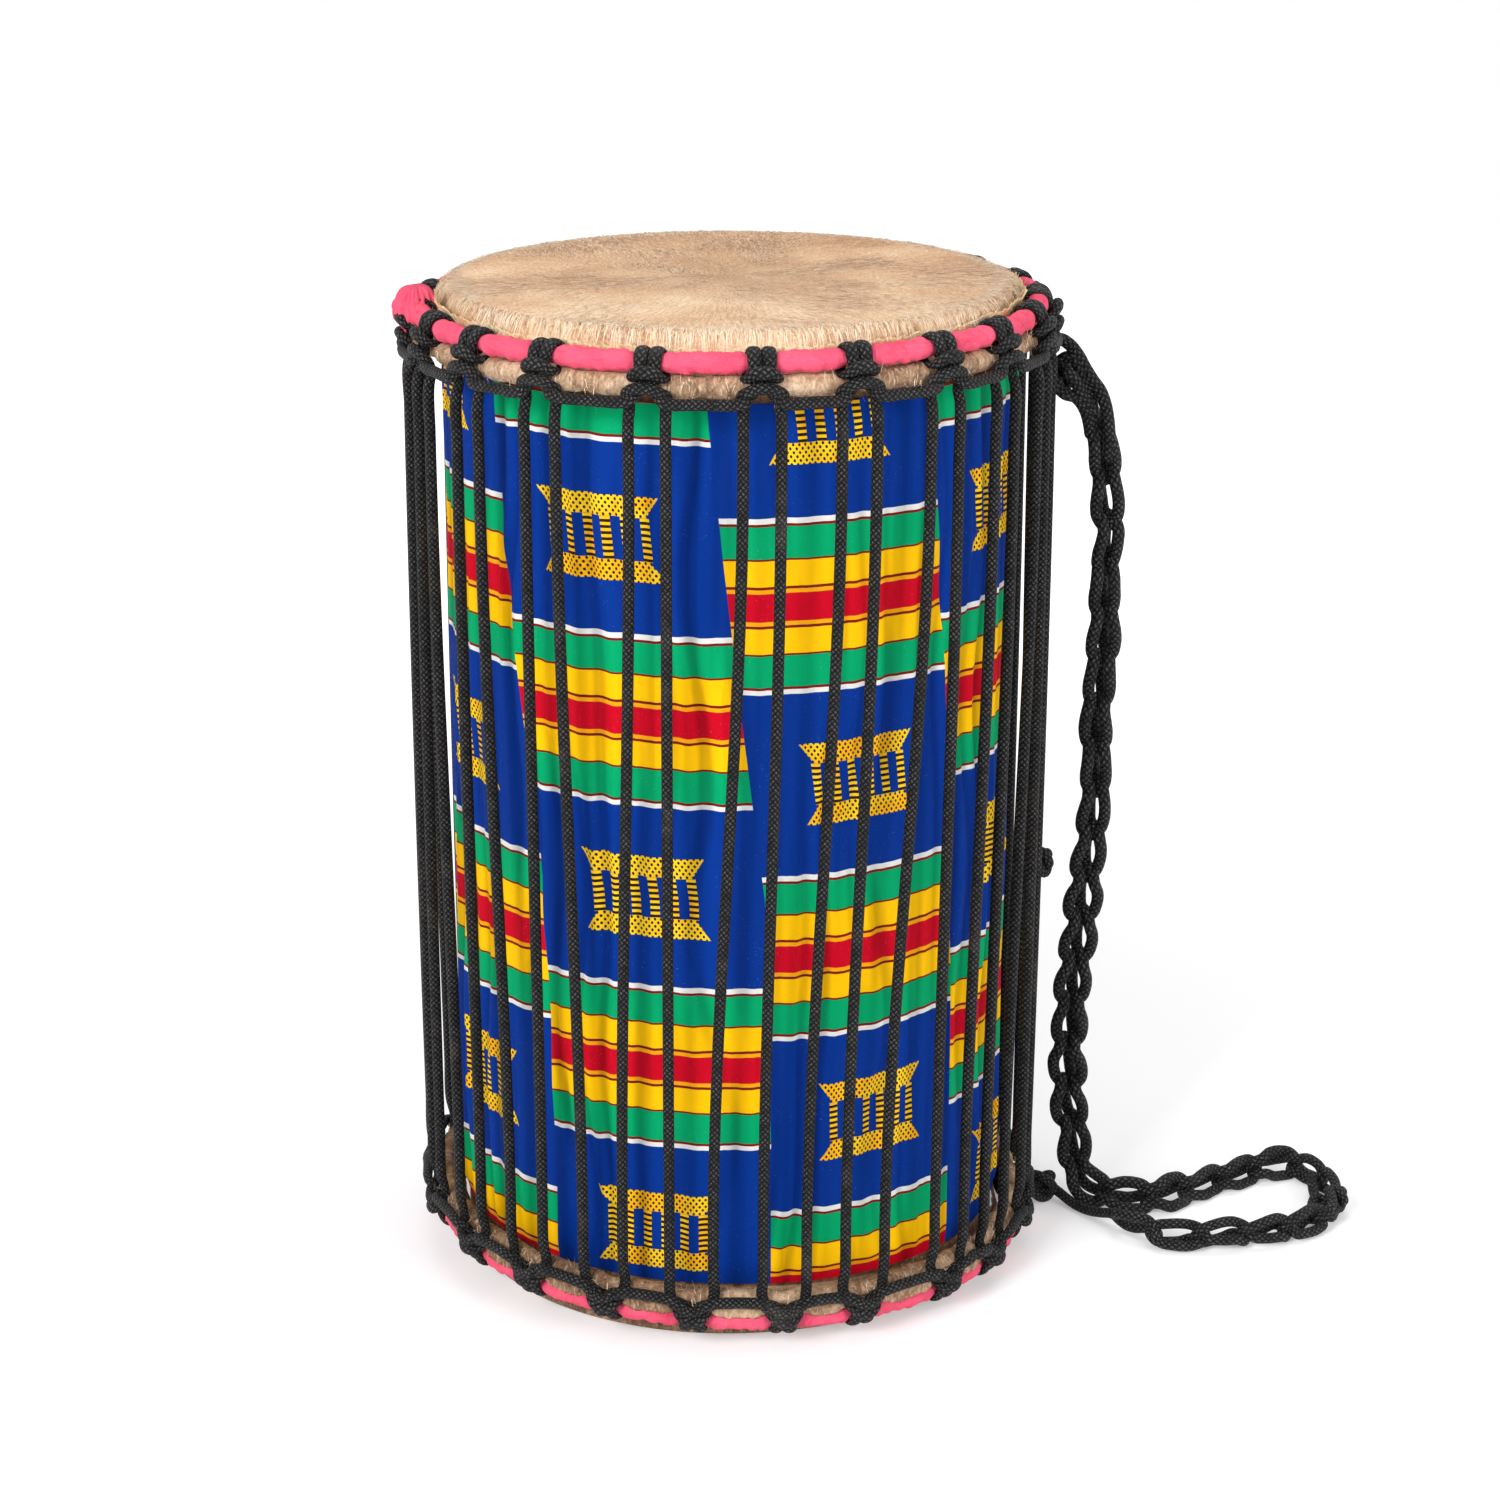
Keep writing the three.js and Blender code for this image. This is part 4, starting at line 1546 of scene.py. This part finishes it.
@dataclass
class TuningRopes:
    """The two ring ropes, each hitched all round its crown ring, and the lacing that draws them together."""

    top_shape: HitchShape = field(default_factory=lambda: HitchShape(15.8, 9.1, -2.6, 7.6, 0.0))
    bottom_shape: HitchShape = field(default_factory=lambda: HitchShape(12.6, 7.4, -3.0, 9.4, 1.0))
    lacing_start: int = 4
    tilt: float = 0.05
    swell: float = 0.35
    stray: float = 0.3
    stray_reach: float = 9 * MM
    step: float = 1.1 * MM
    seed: int = 5

    def _rows(
        self, end: DrumEnd, index: int, places: Sequence[tuple[float, ...]], random: np.random.Generator
    ) -> np.ndarray:
        """Places of a hitch as rows for a rope.

        Args:
            end: The drum's end.
            index: The hitch's number.
            places: The places, with their signed distance along the ring first.
            random: What makes each hitch a little different.

        Returns:
            Rows of a point, half width, half thickness and the way that the thickness points.
        """
        table = np.array(places) * MM
        along, out, up = table[:, 0], table[:, 1], table[:, 2]
        tilt = random.normal(0, self.tilt)
        swell = random.uniform(-self.swell, self.swell) * MM
        near = np.exp(-((along / self.stray_reach) ** 2))
        up = up + tilt * along * near + swell * near
        out = out + random.uniform(-self.stray, self.stray) * MM * (out > 4 * MM)
        angle = end.hitch_angle(index) + along / end.radius
        points = end.point(angle, out, up)
        about_ring = smoothstep(-8.5 * MM, -5 * MM, up)
        length = np.hypot(out, up)
        lean_out = about_ring * out / length + (1 - about_ring)
        lean_up = about_ring * up / length
        normal = end.point(angle, out + lean_out * MM, up + lean_up * MM) - points
        return np.hstack([points, table[:, 3:5], normal])

    def _whole(
        self, half: Sequence[tuple[float, ...]], middle: tuple[float, ...]
    ) -> list[tuple[float, ...]]:
        """Both halves of a hitch, from its left side to its right."""
        left = [(-place[0], *place[1:]) for place in half]
        return [*left, middle, *reversed(half)]

    def make_ring_rope(self, end: DrumEnd, shape: HitchShape, finish: bpy.types.Material) -> bpy.types.Object:
        """Hitches one endless rope round a crown ring.

        Args:
            end: The drum's end.
            shape: How the rope lies at a hitch.
            finish: The rope's finish.

        Returns:
            The ring rope.
        """
        random = np.random.default_rng(self.seed + end.inward)
        places = self._whole(shape.ring_half(), shape.bar_middle())
        rows = [self._rows(end, index, places, random) for index in range(end.hitches)]
        line = smooth_line(np.concatenate(rows), self.step, closed=True)
        rope = rope_mesh(f"{end.name.value}_hitches", line, closed=True)
        return place_piece(rope, finish, "rope", f"{end.name.value}_ring_rope")

    def make_lacing(self, finish: bpy.types.Material) -> bpy.types.Object:
        """Laces the two ring ropes together with one rope.

        Args:
            finish: The rope's finish.

        Returns:
            The lacing.
        """
        random = np.random.default_rng(self.seed + 30)
        top = self._whole(self.top_shape.lacing_half(), self.top_shape.lacing_middle())
        bottom = self._whole(self.bottom_shape.lacing_half(), self.bottom_shape.lacing_middle())
        rows = []
        for turn in range(1, TOP.hitches + 1):
            index = self.lacing_start + turn
            rows.append(self._rows(TOP, index, top, random))
            rows.append(self._rows(BOTTOM, index, bottom, random))
        line = smooth_line(np.concatenate(rows), self.step, closed=True)
        rope = rope_mesh("lacing", line, closed=True)
        return place_piece(rope, finish, "rope", "lacing_rope")

    def make(self, finish: bpy.types.Material) -> None:
        """Makes the three ropes.

        Args:
            finish: The rope's finish.
        """
        self.make_ring_rope(TOP, self.top_shape, finish)
        self.make_ring_rope(BOTTOM, self.bottom_shape, finish)
        self.make_lacing(finish)


@dataclass
class ClothCover:
    """The printed wrapper: one sheet wound round the shell, which lies in soft upright ripples."""

    radius: float = 128.9 * MM
    print_radius: float = 129 * MM
    least_radius: float = 126.4 * MM
    ripple: float = 1.15 * MM
    tuck: float = 7 * MM
    overlap: float = 14 * MM
    overlap_lift: float = 0.7 * MM
    edge_angle: float = math.radians(87)
    edge_slope: Sequence[float] = (0.16, 0.09)
    hem: float = 10 * MM
    hem_inset: float = 1.2 * MM
    top_gap: float = 3.5 * MM
    columns: int = 1300
    rows: int = 150
    first_border: float = -89 * MM
    column_widths: Sequence[float] = (101.5 * MM, 96 * MM, *(6 * (102.2 * MM,)))
    border_sway: Sequence[Sequence[float]] = (
        (28 * MM, 6 * MM), (60 * MM, 6 * MM), (95 * MM, 5.8 * MM), (154 * MM, 4.5 * MM), (212 * MM, 2.5 * MM),
        (242 * MM, -1.2 * MM), (300 * MM, -8 * MM), (366 * MM, -15 * MM), (440 * MM, -22 * MM),
    )
    front_stretch: Sequence[Sequence[float]] = ((28 * MM, 3 * MM), (150 * MM, 4 * MM), (366 * MM, 8.6 * MM))

    def _print_column(self, angle: np.ndarray, height: np.ndarray) -> np.ndarray:
        """The number of the print's column at each place, with its fraction across the column.

        Args:
            angle: Angles round the drum.
            height: Heights on the drum.

        Returns:
            The numbers.
        """
        along = angle * self.print_radius - np.interp(height, *np.transpose(self.border_sway))
        along = along - np.interp(height, *np.transpose(self.front_stretch)) * np.sin(angle)
        widths = np.array(self.column_widths)
        borders = self.first_border + np.concatenate([[0], np.cumsum(widths)])
        turn = borders[-1] - borders[0]
        laps = np.floor((along - borders[0]) / turn)
        return np.interp(along - laps * turn, borders, np.arange(len(borders)) - 1) + laps * len(widths)

    def _ripples(self, angle: np.ndarray, height: np.ndarray) -> np.ndarray:
        """How far the cloth stands out at each place, from -1 to 1: rounded ridges with narrow valleys.

        Args:
            angle: Angles round the drum.
            height: Heights on the drum.

        Returns:
            The distances, as shares of the ripples' height.
        """
        drift = 0.05 * ring_noise(angle, 3, 3, 12, height / (120 * MM))
        wave = ring_noise(angle + drift, 21, 46, 78, height / (330 * MM))
        fine = ring_noise(angle, 22, 100, 180, height / (90 * MM))
        valley = -np.abs(ring_noise(angle, 23, 14, 30, height / (300 * MM)))
        return 0.7 * wave + 0.1 * fine + 0.6 * valley + 0.25

    def make(self, finish: bpy.types.Material) -> bpy.types.Object:
        """Args:
            finish: The cloth's finish.

        Returns:
            The wrapper.
        """
        low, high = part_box("cloth_cover")
        reach = math.tau + self.overlap / self.radius
        angle = (self.edge_angle - reach + np.linspace(0, reach, self.columns))[None, :]
        share = np.linspace(0, 1, self.rows)[:, None]
        foot = low.z - self.tuck + np.minimum(BOTTOM.slope * self.radius * np.sin(angle), 0)
        top = high.z - self.top_gap
        height = foot + (top - foot) * share
        near_hem = np.minimum(height - foot, top - height) / self.hem
        full = smoothstep(0, 1, near_hem)
        low_edge, high_edge = (self.edge_angle - back for back in self.edge_slope)
        lift = self.overlap_lift * smoothstep(low_edge, high_edge, angle)
        ripples = self._ripples(angle, height)
        radius = self.radius + self.ripple * full * ripples - (1 - full) * self.hem_inset
        radius = np.maximum(radius, self.least_radius) + lift
        uv = np.stack([self._print_column(angle, height), height], axis=-1)
        cloth = grid_mesh("cloth_wrapper", about_drum(angle, radius, height), uv)
        # The valley attribute marks where painted shade darkens the print in the ripples' valleys.
        valley = cloth.data.attributes.new("valley", "FLOAT", "POINT")
        valley.data.foreach_set("value", (1 - smoothstep(-1.3, 0.1, ripples)).astype(np.float32).ravel())
        place_piece(cloth, finish, "print", "cloth_cover")
        return cloth


@dataclass
class Skin:
    """A head: the hide over the bearing edge, its turn round the flesh ring, and its trimmed flap."""

    end: DrumEnd
    edge_round: float = 3.2 * MM
    roll: float = 4.7 * MM
    roll_drop: float = 10.1 * MM
    roll_inset: float = 0.6 * MM
    head_stand: float = 1.3 * MM
    head_dip: float = 0.16 * MM
    pinch: float = 1.3 * MM
    pinch_reach: float = 6.5 * MM
    flap_inset: float = 9.6 * MM
    flap_foot: float = 4 * MM
    flap_thick: float = 0.9 * MM
    apron_foot: float = 7.5 * MM
    apron_out: float = 4.9 * MM
    apron_thick: float = 0.7 * MM
    straw_count: int = 2600
    straw_width: float = 0.24 * MM
    straw_on_flap: float = 0.35
    sides: int = 720
    first_seed: int = 40

    @property
    def seed(self) -> int:
        """The first seed of this end's noise."""
        return self.first_seed + self.end.inward

    def _shell_radius(self) -> float:
        """The shell's radius."""
        low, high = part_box("shell")
        return (high.x - low.x) / 2

    def _band(
        self, part: str, out: np.ndarray, up: np.ndarray, girth: float, finish: bpy.types.Material
    ) -> bpy.types.Object:
        """A band of hide all round the drum, whose outline closes on itself.

        Args:
            part: What the band is, for its name.
            out: Distance outward from the crown ring's bar, outline by angles.
            up: Height towards the skin from the bar, outline by angles.
            girth: The length of the outline, for the texture.
            finish: The hide's finish.

        Returns:
            The band.
        """
        rows, columns = out.shape
        points = self.end.point(whole_turn(columns), out, up)
        uv = texture_grid(np.linspace(0, girth, rows + 1), np.linspace(0, 1, columns + 1))
        band = grid_mesh(f"{self.end.name.value}_{part}", points, uv, close_rows=True, close_columns=True)
        return place_piece(band, finish, "hide")

    def make_head(self, finish: bpy.types.Material) -> bpy.types.Object:
        """Stretches the hide over the shell and down to the roll.

        Args:
            finish: The hide's finish.

        Returns:
            The head.
        """
        end = self.end
        outer = self._shell_radius() + self.head_stand
        flat = np.linspace(0.2 * MM, outer - self.edge_round, 70)
        bend = np.linspace(0, math.pi / 2, 8)[1:]
        skirt = np.linspace(end.crown_depth - 1 * MM, end.crown_depth + self.roll_drop, 7)
        rounded = outer - self.edge_round * (1 - np.sin(bend))
        reach = np.concatenate([flat, rounded, np.full(len(skirt), outer)])
        depth = np.concatenate([0 * flat, self.edge_round * (1 - np.cos(bend)), skirt])
        along = np.concatenate([[0], np.cumsum(np.hypot(np.diff(reach), np.diff(depth)))])
        angle = whole_turn(self.sides)
        dip = self.head_dip * (1 + ring_noise(angle, self.seed, 2, 9, reach[:, None] / (30 * MM)))
        inside = smoothstep(0, 20 * MM, reach)[:, None]
        height = end.crown_depth - (depth[:, None] + dip * inside)
        points = end.point(angle, (reach - end.radius)[:, None] + 0 * angle, height)
        lean = np.clip((depth - self.edge_round) / (end.crown_depth - self.edge_round), 0, 1)
        points[..., 2] -= end.slope * points[..., 0] * (1 - lean[:, None])
        uv = texture_grid(along, np.linspace(0, 1, self.sides + 1))
        head = grid_mesh(f"{end.name.value}_skin", points, uv, close_columns=True)
        return place_piece(head, finish, "hide", f"{end.name.value}_head")

    def make_roll(self, finish: bpy.types.Material) -> bpy.types.Object:
        """Turns the hide round the flesh ring, in a soft roll that is pinched at every hitch.

        Args:
            finish: The hide's finish.

        Returns:
            The roll.
        """
        angle = whole_turn(self.sides)
        turn = np.linspace(-math.pi, math.pi, 28, endpoint=False)[:, None]
        pinch = np.exp(-((self.end.nearest_hitch(angle) / self.pinch_reach) ** 2))
        lumps = ring_noise(angle, self.seed + 3, 30, 70) * 0.28 * MM
        lumps = lumps + ring_noise(angle, self.seed + 4, 60, 150, turn * 1.2) * 0.16 * MM
        radius = self.roll + lumps - self.pinch * pinch
        sag = 0.5 * MM * ring_noise(angle, self.seed + 5, 3, 12)
        out = -self.roll_inset + radius * np.cos(turn)
        up = -self.roll_drop + sag * 0.5 + 1.02 * radius * np.sin(turn)
        return self._band("roll", out, up, math.tau * self.roll, finish)

    def make_flap(self, finish: bpy.types.Material) -> bpy.types.Object:
        """Trims the hide's edge, which stands up ragged behind the crown ring.

        Args:
            finish: The hide's finish.

        Returns:
            The flap.
        """
        angle = whole_turn(self.sides)
        share = np.linspace(0, 1, 9)[:, None]
        jag = 0.9 * ring_noise(angle, self.seed + 6, 8, 40) + 0.5 * ring_noise(angle, self.seed + 7, 90, 200)
        side = np.sin(angle) ** 2
        top = (4.2 + 2.6 * side + 0.8 * jag) * MM
        flop = (1.6 + 2.2 * side + 0.6 * ring_noise(angle, self.seed + 8, 5, 25)) * MM
        ripple = 0.25 * MM * ring_noise(angle, self.seed + 9, 40, 90, share)
        out = -self.flap_inset + flop * share**1.6 + ripple
        up = -self.flap_foot + (top + self.flap_foot) * share
        thick = self.flap_thick * (1 - 0.5 * share)
        out = np.concatenate([out, (out + thick)[::-1]])
        up = np.concatenate([up, up[::-1] - 0.1 * MM])
        return self._band("flap", out, up, 30 * MM, finish)

    def make_apron(self, finish: bpy.types.Material) -> bpy.types.Object:
        """Lays a ragged strip of the hide's edge over the ring's cloth, between the hitches.

        Args:
            finish: The hide's finish.

        Returns:
            The strip.
        """
        angle = whole_turn(2 * self.sides)
        share = np.linspace(0, 1, 7)[:, None]
        coarse = ring_noise(angle, self.seed + 11, 10, 50)
        jag = 0.7 * coarse + 0.45 * ring_noise(angle, self.seed + 12, 110, 260)
        hitch = np.exp(-((self.end.nearest_hitch(angle) / (10 * MM)) ** 4))
        tip = -2.7 * MM + 0.8 * MM * jag - 3.0 * MM * hitch
        up = -self.apron_foot + (np.minimum(tip, 0.6 * MM) + self.apron_foot) * share
        ripple = 0.2 * MM * ring_noise(angle, self.seed + 13, 60, 120, share)
        out = self.apron_out + 0.3 * MM * share + ripple - 1.2 * MM * hitch
        out = np.concatenate([out, out[::-1] - self.apron_thick])
        up = np.concatenate([up, up[::-1] - 0.05 * MM])
        return self._band("apron", out, up, 14 * MM, finish)

    def make_straw(self, finish: bpy.types.Material) -> bpy.types.Object:
        """Scatters stray hairs over the roll and the trimmed edge.

        Args:
            finish: The hair's finish.

        Returns:
            One mesh of all the hairs.
        """
        count = self.straw_count
        random = np.random.default_rng(self.seed + 20)
        angle = random.uniform(0, math.tau, count)
        turn = random.uniform(-1.2, 1.3, count)
        radius = self.roll + random.uniform(-0.3, 0.25, count) * MM
        out = -self.roll_inset + radius * np.cos(turn)
        up = -self.roll_drop + radius * np.sin(turn)
        flap = random.uniform(0, 1, count) < self.straw_on_flap
        out = np.where(flap, random.uniform(-9.4, -6.5, count) * MM, out)
        up = np.where(flap, random.uniform(1.0, 6.0, count) * MM, up)
        root = self.end.point(angle, out, up)
        along = random.normal(0, 1, count)
        rise = random.normal(0.1, 0.9, count)
        poke = random.uniform(0.1, 0.7, count)
        tangent = np.stack([np.cos(angle), np.sin(angle), np.zeros(count)], 1)
        outward = about_drum(angle, 1, 0)
        way = tangent * along[:, None] + outward * poke[:, None] + np.array([0, 0, 1.0]) * rise[:, None]
        way /= np.linalg.norm(way, axis=1)[:, None]
        length = random.uniform(2.5, 6.5, count) * MM
        shade = random.beta(4, 1.4, count)
        name = f"{self.end.name.value}_stray_hair"
        straw = hair_mesh(name, root, way, length, 0 * length, 0 * length, shade, self.straw_width)
        return place_piece(straw, finish, "hide")

    def make(self, finishes: Finishes) -> None:
        """Makes the head, the roll, the flap and the hairs on them, and the lower head's apron.

        Args:
            finishes: Every finish of the drum.
        """
        # The lower end's head, roll, flap and apron take the foot hide, whose darker colours are painted
        # shade.
        self.make_head(finishes.head if self.end is TOP else finishes.foot)
        self.make_roll(finishes.rim if self.end is TOP else finishes.foot)
        self.make_flap(finishes.edge if self.end is TOP else finishes.foot)
        self.make_straw(finishes.hair)
        if self.end is BOTTOM:
            self.make_apron(finishes.foot)


@dataclass(frozen=True)
class HairCoat:
    """One coat of combed hair. Its lengths and lifts are in millimetres.

    Args:
        name: The piece's name.
        count: How many hairs there are.
        stray: How far a hair's direction strays from its neighbours', in radians.
        swirl: How far the whole coat swirls, in radians.
        waves: The swirl's seed, and its fewest and most waves round the drum.
        length: The shortest and the longest hair.
        lift: The least and the most that a hair's middle stands up.
        droop: How far a tip drops, as a share of what passes the shell.
        shade: The two shape numbers of the shades' spread.
        front_pale: How much paler the front is than the back, over a metre.
    """

    name: str
    count: int
    stray: float
    swirl: float
    waves: tuple[int, int, int]
    length: tuple[float, float]
    lift: tuple[float, float]
    droop: float
    shade: tuple[float, float]
    front_pale: float


@dataclass
class HeadHair:
    """Short hair on the playing head, combed outward, and longer at the rim."""

    short: HairCoat = HairCoat(
        "short_hair", 22000, 0.35, 0.5, (4, 1, 4), (3, 7), (0.05, 0.3), 0.5, (1.5, 1.6), 1.1
    )
    rim: HairCoat = HairCoat(
        "rim_hair", 7000, 0.3, 0.3, (5, 6, 14), (5, 10), (0.2, 0.6), 0.75, (3.5, 1.4), 1.2
    )
    width: float = 0.3 * MM
    seed: int = 70

    def _comb(
        self,
        coat: HairCoat,
        angle: np.ndarray,
        root: np.ndarray,
        random: np.random.Generator,
        finish: bpy.types.Material,
    ) -> bpy.types.Object:
        """Combs a coat outward, and lets what passes the shell hang down.

        Args:
            coat: The coat.
            angle: The angle round the drum of each hair's root.
            root: Where each hair grows.
            random: What makes each hair a little different.
            finish: The hair's finish.

        Returns:
            The coat's piece.
        """
        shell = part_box("shell")[1].x
        comb = angle + random.normal(0, coat.stray, coat.count) + coat.swirl * ring_noise(angle, *coat.waves)
        way = about_drum(comb, 1, 0)
        length = random.uniform(*coat.length, coat.count) * MM
        past = np.maximum(np.hypot(*(root + way * length[:, None])[:, :2].T) - shell, 0)
        lift = random.uniform(*coat.lift, coat.count) * MM
        shade = np.clip(random.beta(*coat.shade, coat.count) - root[:, 1] * coat.front_pale, 0, 1)
        hair = hair_mesh(coat.name, root, way, length, lift, coat.droop * past, shade, self.width)
        return place_piece(hair, finish, "hide")

    def make(self, finish: bpy.types.Material) -> None:
        """Grows the hair on the upper head.

        Args:
            finish: The hair's finish.
        """
        random = np.random.default_rng(self.seed)
        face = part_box("top_head")[1].z
        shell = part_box("shell")[1].x
        reach = shell * np.sqrt(random.uniform(0.001, 1, self.short.count))
        angle = random.uniform(0, math.tau, self.short.count)
        self._comb(self.short, angle, about_drum(angle, reach, face - 0.25 * MM), random, finish)
        angle = random.uniform(0, math.tau, self.rim.count)
        reach = shell - random.uniform(-0.6, 9, self.rim.count) * MM
        drop = np.maximum(reach - (shell - 3 * MM), 0)
        self._comb(self.rim, angle, about_drum(angle, reach, face - 0.3 * MM - 0.6 * drop), random, finish)


@dataclass
class RingWinding:
    """Pink cotton strip, wound round a crown ring and squeezed at every hitch."""

    end: DrumEnd
    full: float = 4.6 * MM
    squeezed: float = 3.5 * MM
    strip: float = 19 * MM
    lap: float = 0.6 * MM
    crease: float = 0.2 * MM
    hitch_grip: Sequence[float] = (4.2 * MM, 9.5 * MM)
    sides: int = 1400
    first_seed: int = 90

    @property
    def seed(self) -> int:
        """The first seed of this end's noise."""
        return self.first_seed + self.end.inward

    def make(self, finish: bpy.types.Material) -> bpy.types.Object:
        """Winds the strip round the ring.

        Args:
            finish: The cloth's finish.

        Returns:
            The winding.
        """
        angle = whole_turn(self.sides)
        turn = np.linspace(-math.pi, math.pi, 32, endpoint=False)[:, None]
        swell = smoothstep(*self.hitch_grip, self.end.nearest_hitch(angle))
        laps = round(math.tau * self.end.radius / self.strip)
        wander = 0.06 * ring_noise(angle, self.seed, 20, 60)
        phase = (laps * angle / math.tau + turn / math.tau + wander) % 1
        edge = self.lap * phase * swell
        crease = self.crease * ring_noise(angle, self.seed + 1, 60, 160, turn * 1.5)
        stand = (self.full - self.squeezed - self.lap / 2) * swell
        radius = self.squeezed + stand + edge + crease * (0.4 + swell)
        points = self.end.point(angle, radius * np.cos(turn), radius * np.sin(turn))
        along = np.linspace(0, math.tau * self.end.radius, self.sides + 1)
        uv = texture_grid(np.linspace(0, math.tau * self.full, len(turn) + 1), along)
        wrap = grid_mesh(f"{self.end.name.value}_winding", points, uv, close_rows=True, close_columns=True)
        return place_piece(wrap, finish, "pink_cloth", f"{self.end.name.value}_ring_wrap")


@dataclass
class WindingTail:
    """The loose end of the pink strip: a crumpled bunch that stands up from the upper ring."""

    height: float = 20.5 * MM
    drop: float = 13.5 * MM
    width: float = 25 * MM
    thick: float = 20 * MM
    outset: float = 0.4 * MM
    aside: float = 16 * MM
    rows: int = 26
    sides: int = 96
    seed: int = 120

    def make(self, finish: bpy.types.Material) -> bpy.types.Object:
        """Bunches the strip's end where the CAD tail stands.

        Args:
            finish: The cloth's finish.

        Returns:
            The bunch.
        """
        low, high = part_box("wrap_tail")
        middle = (low + high) / 2
        angle = math.atan2(middle.x, -middle.y)
        outward = np.array([math.sin(angle), -math.cos(angle), 0])
        around = np.array([math.cos(angle), math.sin(angle), 0])
        rise = np.linspace(0, 1, self.rows)[:, None]
        turn = whole_turn(self.sides)
        dome = np.sqrt(np.clip(1 - np.clip((rise - 0.3) / 0.7, 0, 1) ** 2.6, 0, 1))
        bulge = (0.72 + 0.28 * smoothstep(0, 0.35, rise)) * dome
        crumple = (
            1 + 0.1 * ring_noise(turn, self.seed, 3, 8, rise * 3.0)
            + 0.09 * ring_noise(turn, self.seed + 1, 12, 26, rise * 6.0)
        )
        across = self.width / 2 * np.cos(turn) * bulge * crumple
        deep = self.thick / 2 * np.sin(turn) * bulge * crumple
        crest = 0.06 * ring_noise(turn, self.seed + 2, 2, 7) * np.sin(math.pi * rise)
        lift = self.height * (rise + crest) - self.drop
        foot = np.array(middle) * (1, 1, 0) + np.array([0, 0, low.z]) + around * self.aside
        foot += outward * self.outset
        points = (
            foot + around * across[..., None] + outward * deep[..., None]
            + np.array([0, 0, 1]) * (lift + 0 * turn)[..., None]
        )
        down, across = np.linspace(0, self.height, self.rows), np.linspace(0, 3 * self.width, self.sides + 1)
        tail = grid_mesh("winding_tail", points, texture_grid(down, across)[..., ::-1], close_columns=True)
        return place_piece(tail, finish, "pink_cloth", "wrap_tail")


def dress_solids(finishes: Finishes) -> None:
    """Gives the solids that stay their finishes: the shell and the four iron rings.

    Args:
        finishes: Every finish of the drum.
    """
    dressed = {"shell": finishes.wood}
    for end in EndName:
        dressed[f"{end.value}_crown_ring"] = finishes.iron
        dressed[f"{end.value}_flesh_ring"] = finishes.iron
    for name, finish in dressed.items():
        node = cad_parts[name]
        node.data.materials.clear()
        node.data.materials.append(finish)
        log.info("solid %s keeps its shape", name)


def main() -> None:
    """Builds the studio and the drum; each new piece's face count is logged."""
    studio = Studio()
    studio.set_camera()
    finishes = Finishes()
    chain = CarryingChain()
    chain.make(finishes.rope)
    chain.make_knot("lacing_splice", "splice_knot", finishes.rope, chain.splice_ring)
    TuningRopes().make(finishes.rope)
    ClothCover().make(finishes.cotton)
    for end in (TOP, BOTTOM):
        Skin(end).make(finishes)
        RingWinding(end).make(finishes.pink)
    HeadHair().make(finishes.hair)
    WindingTail().make(finishes.pink)
    dress_solids(finishes)
    studio.set_light()
    studio.lay_floor()


if __name__ == "__main__":
    main()
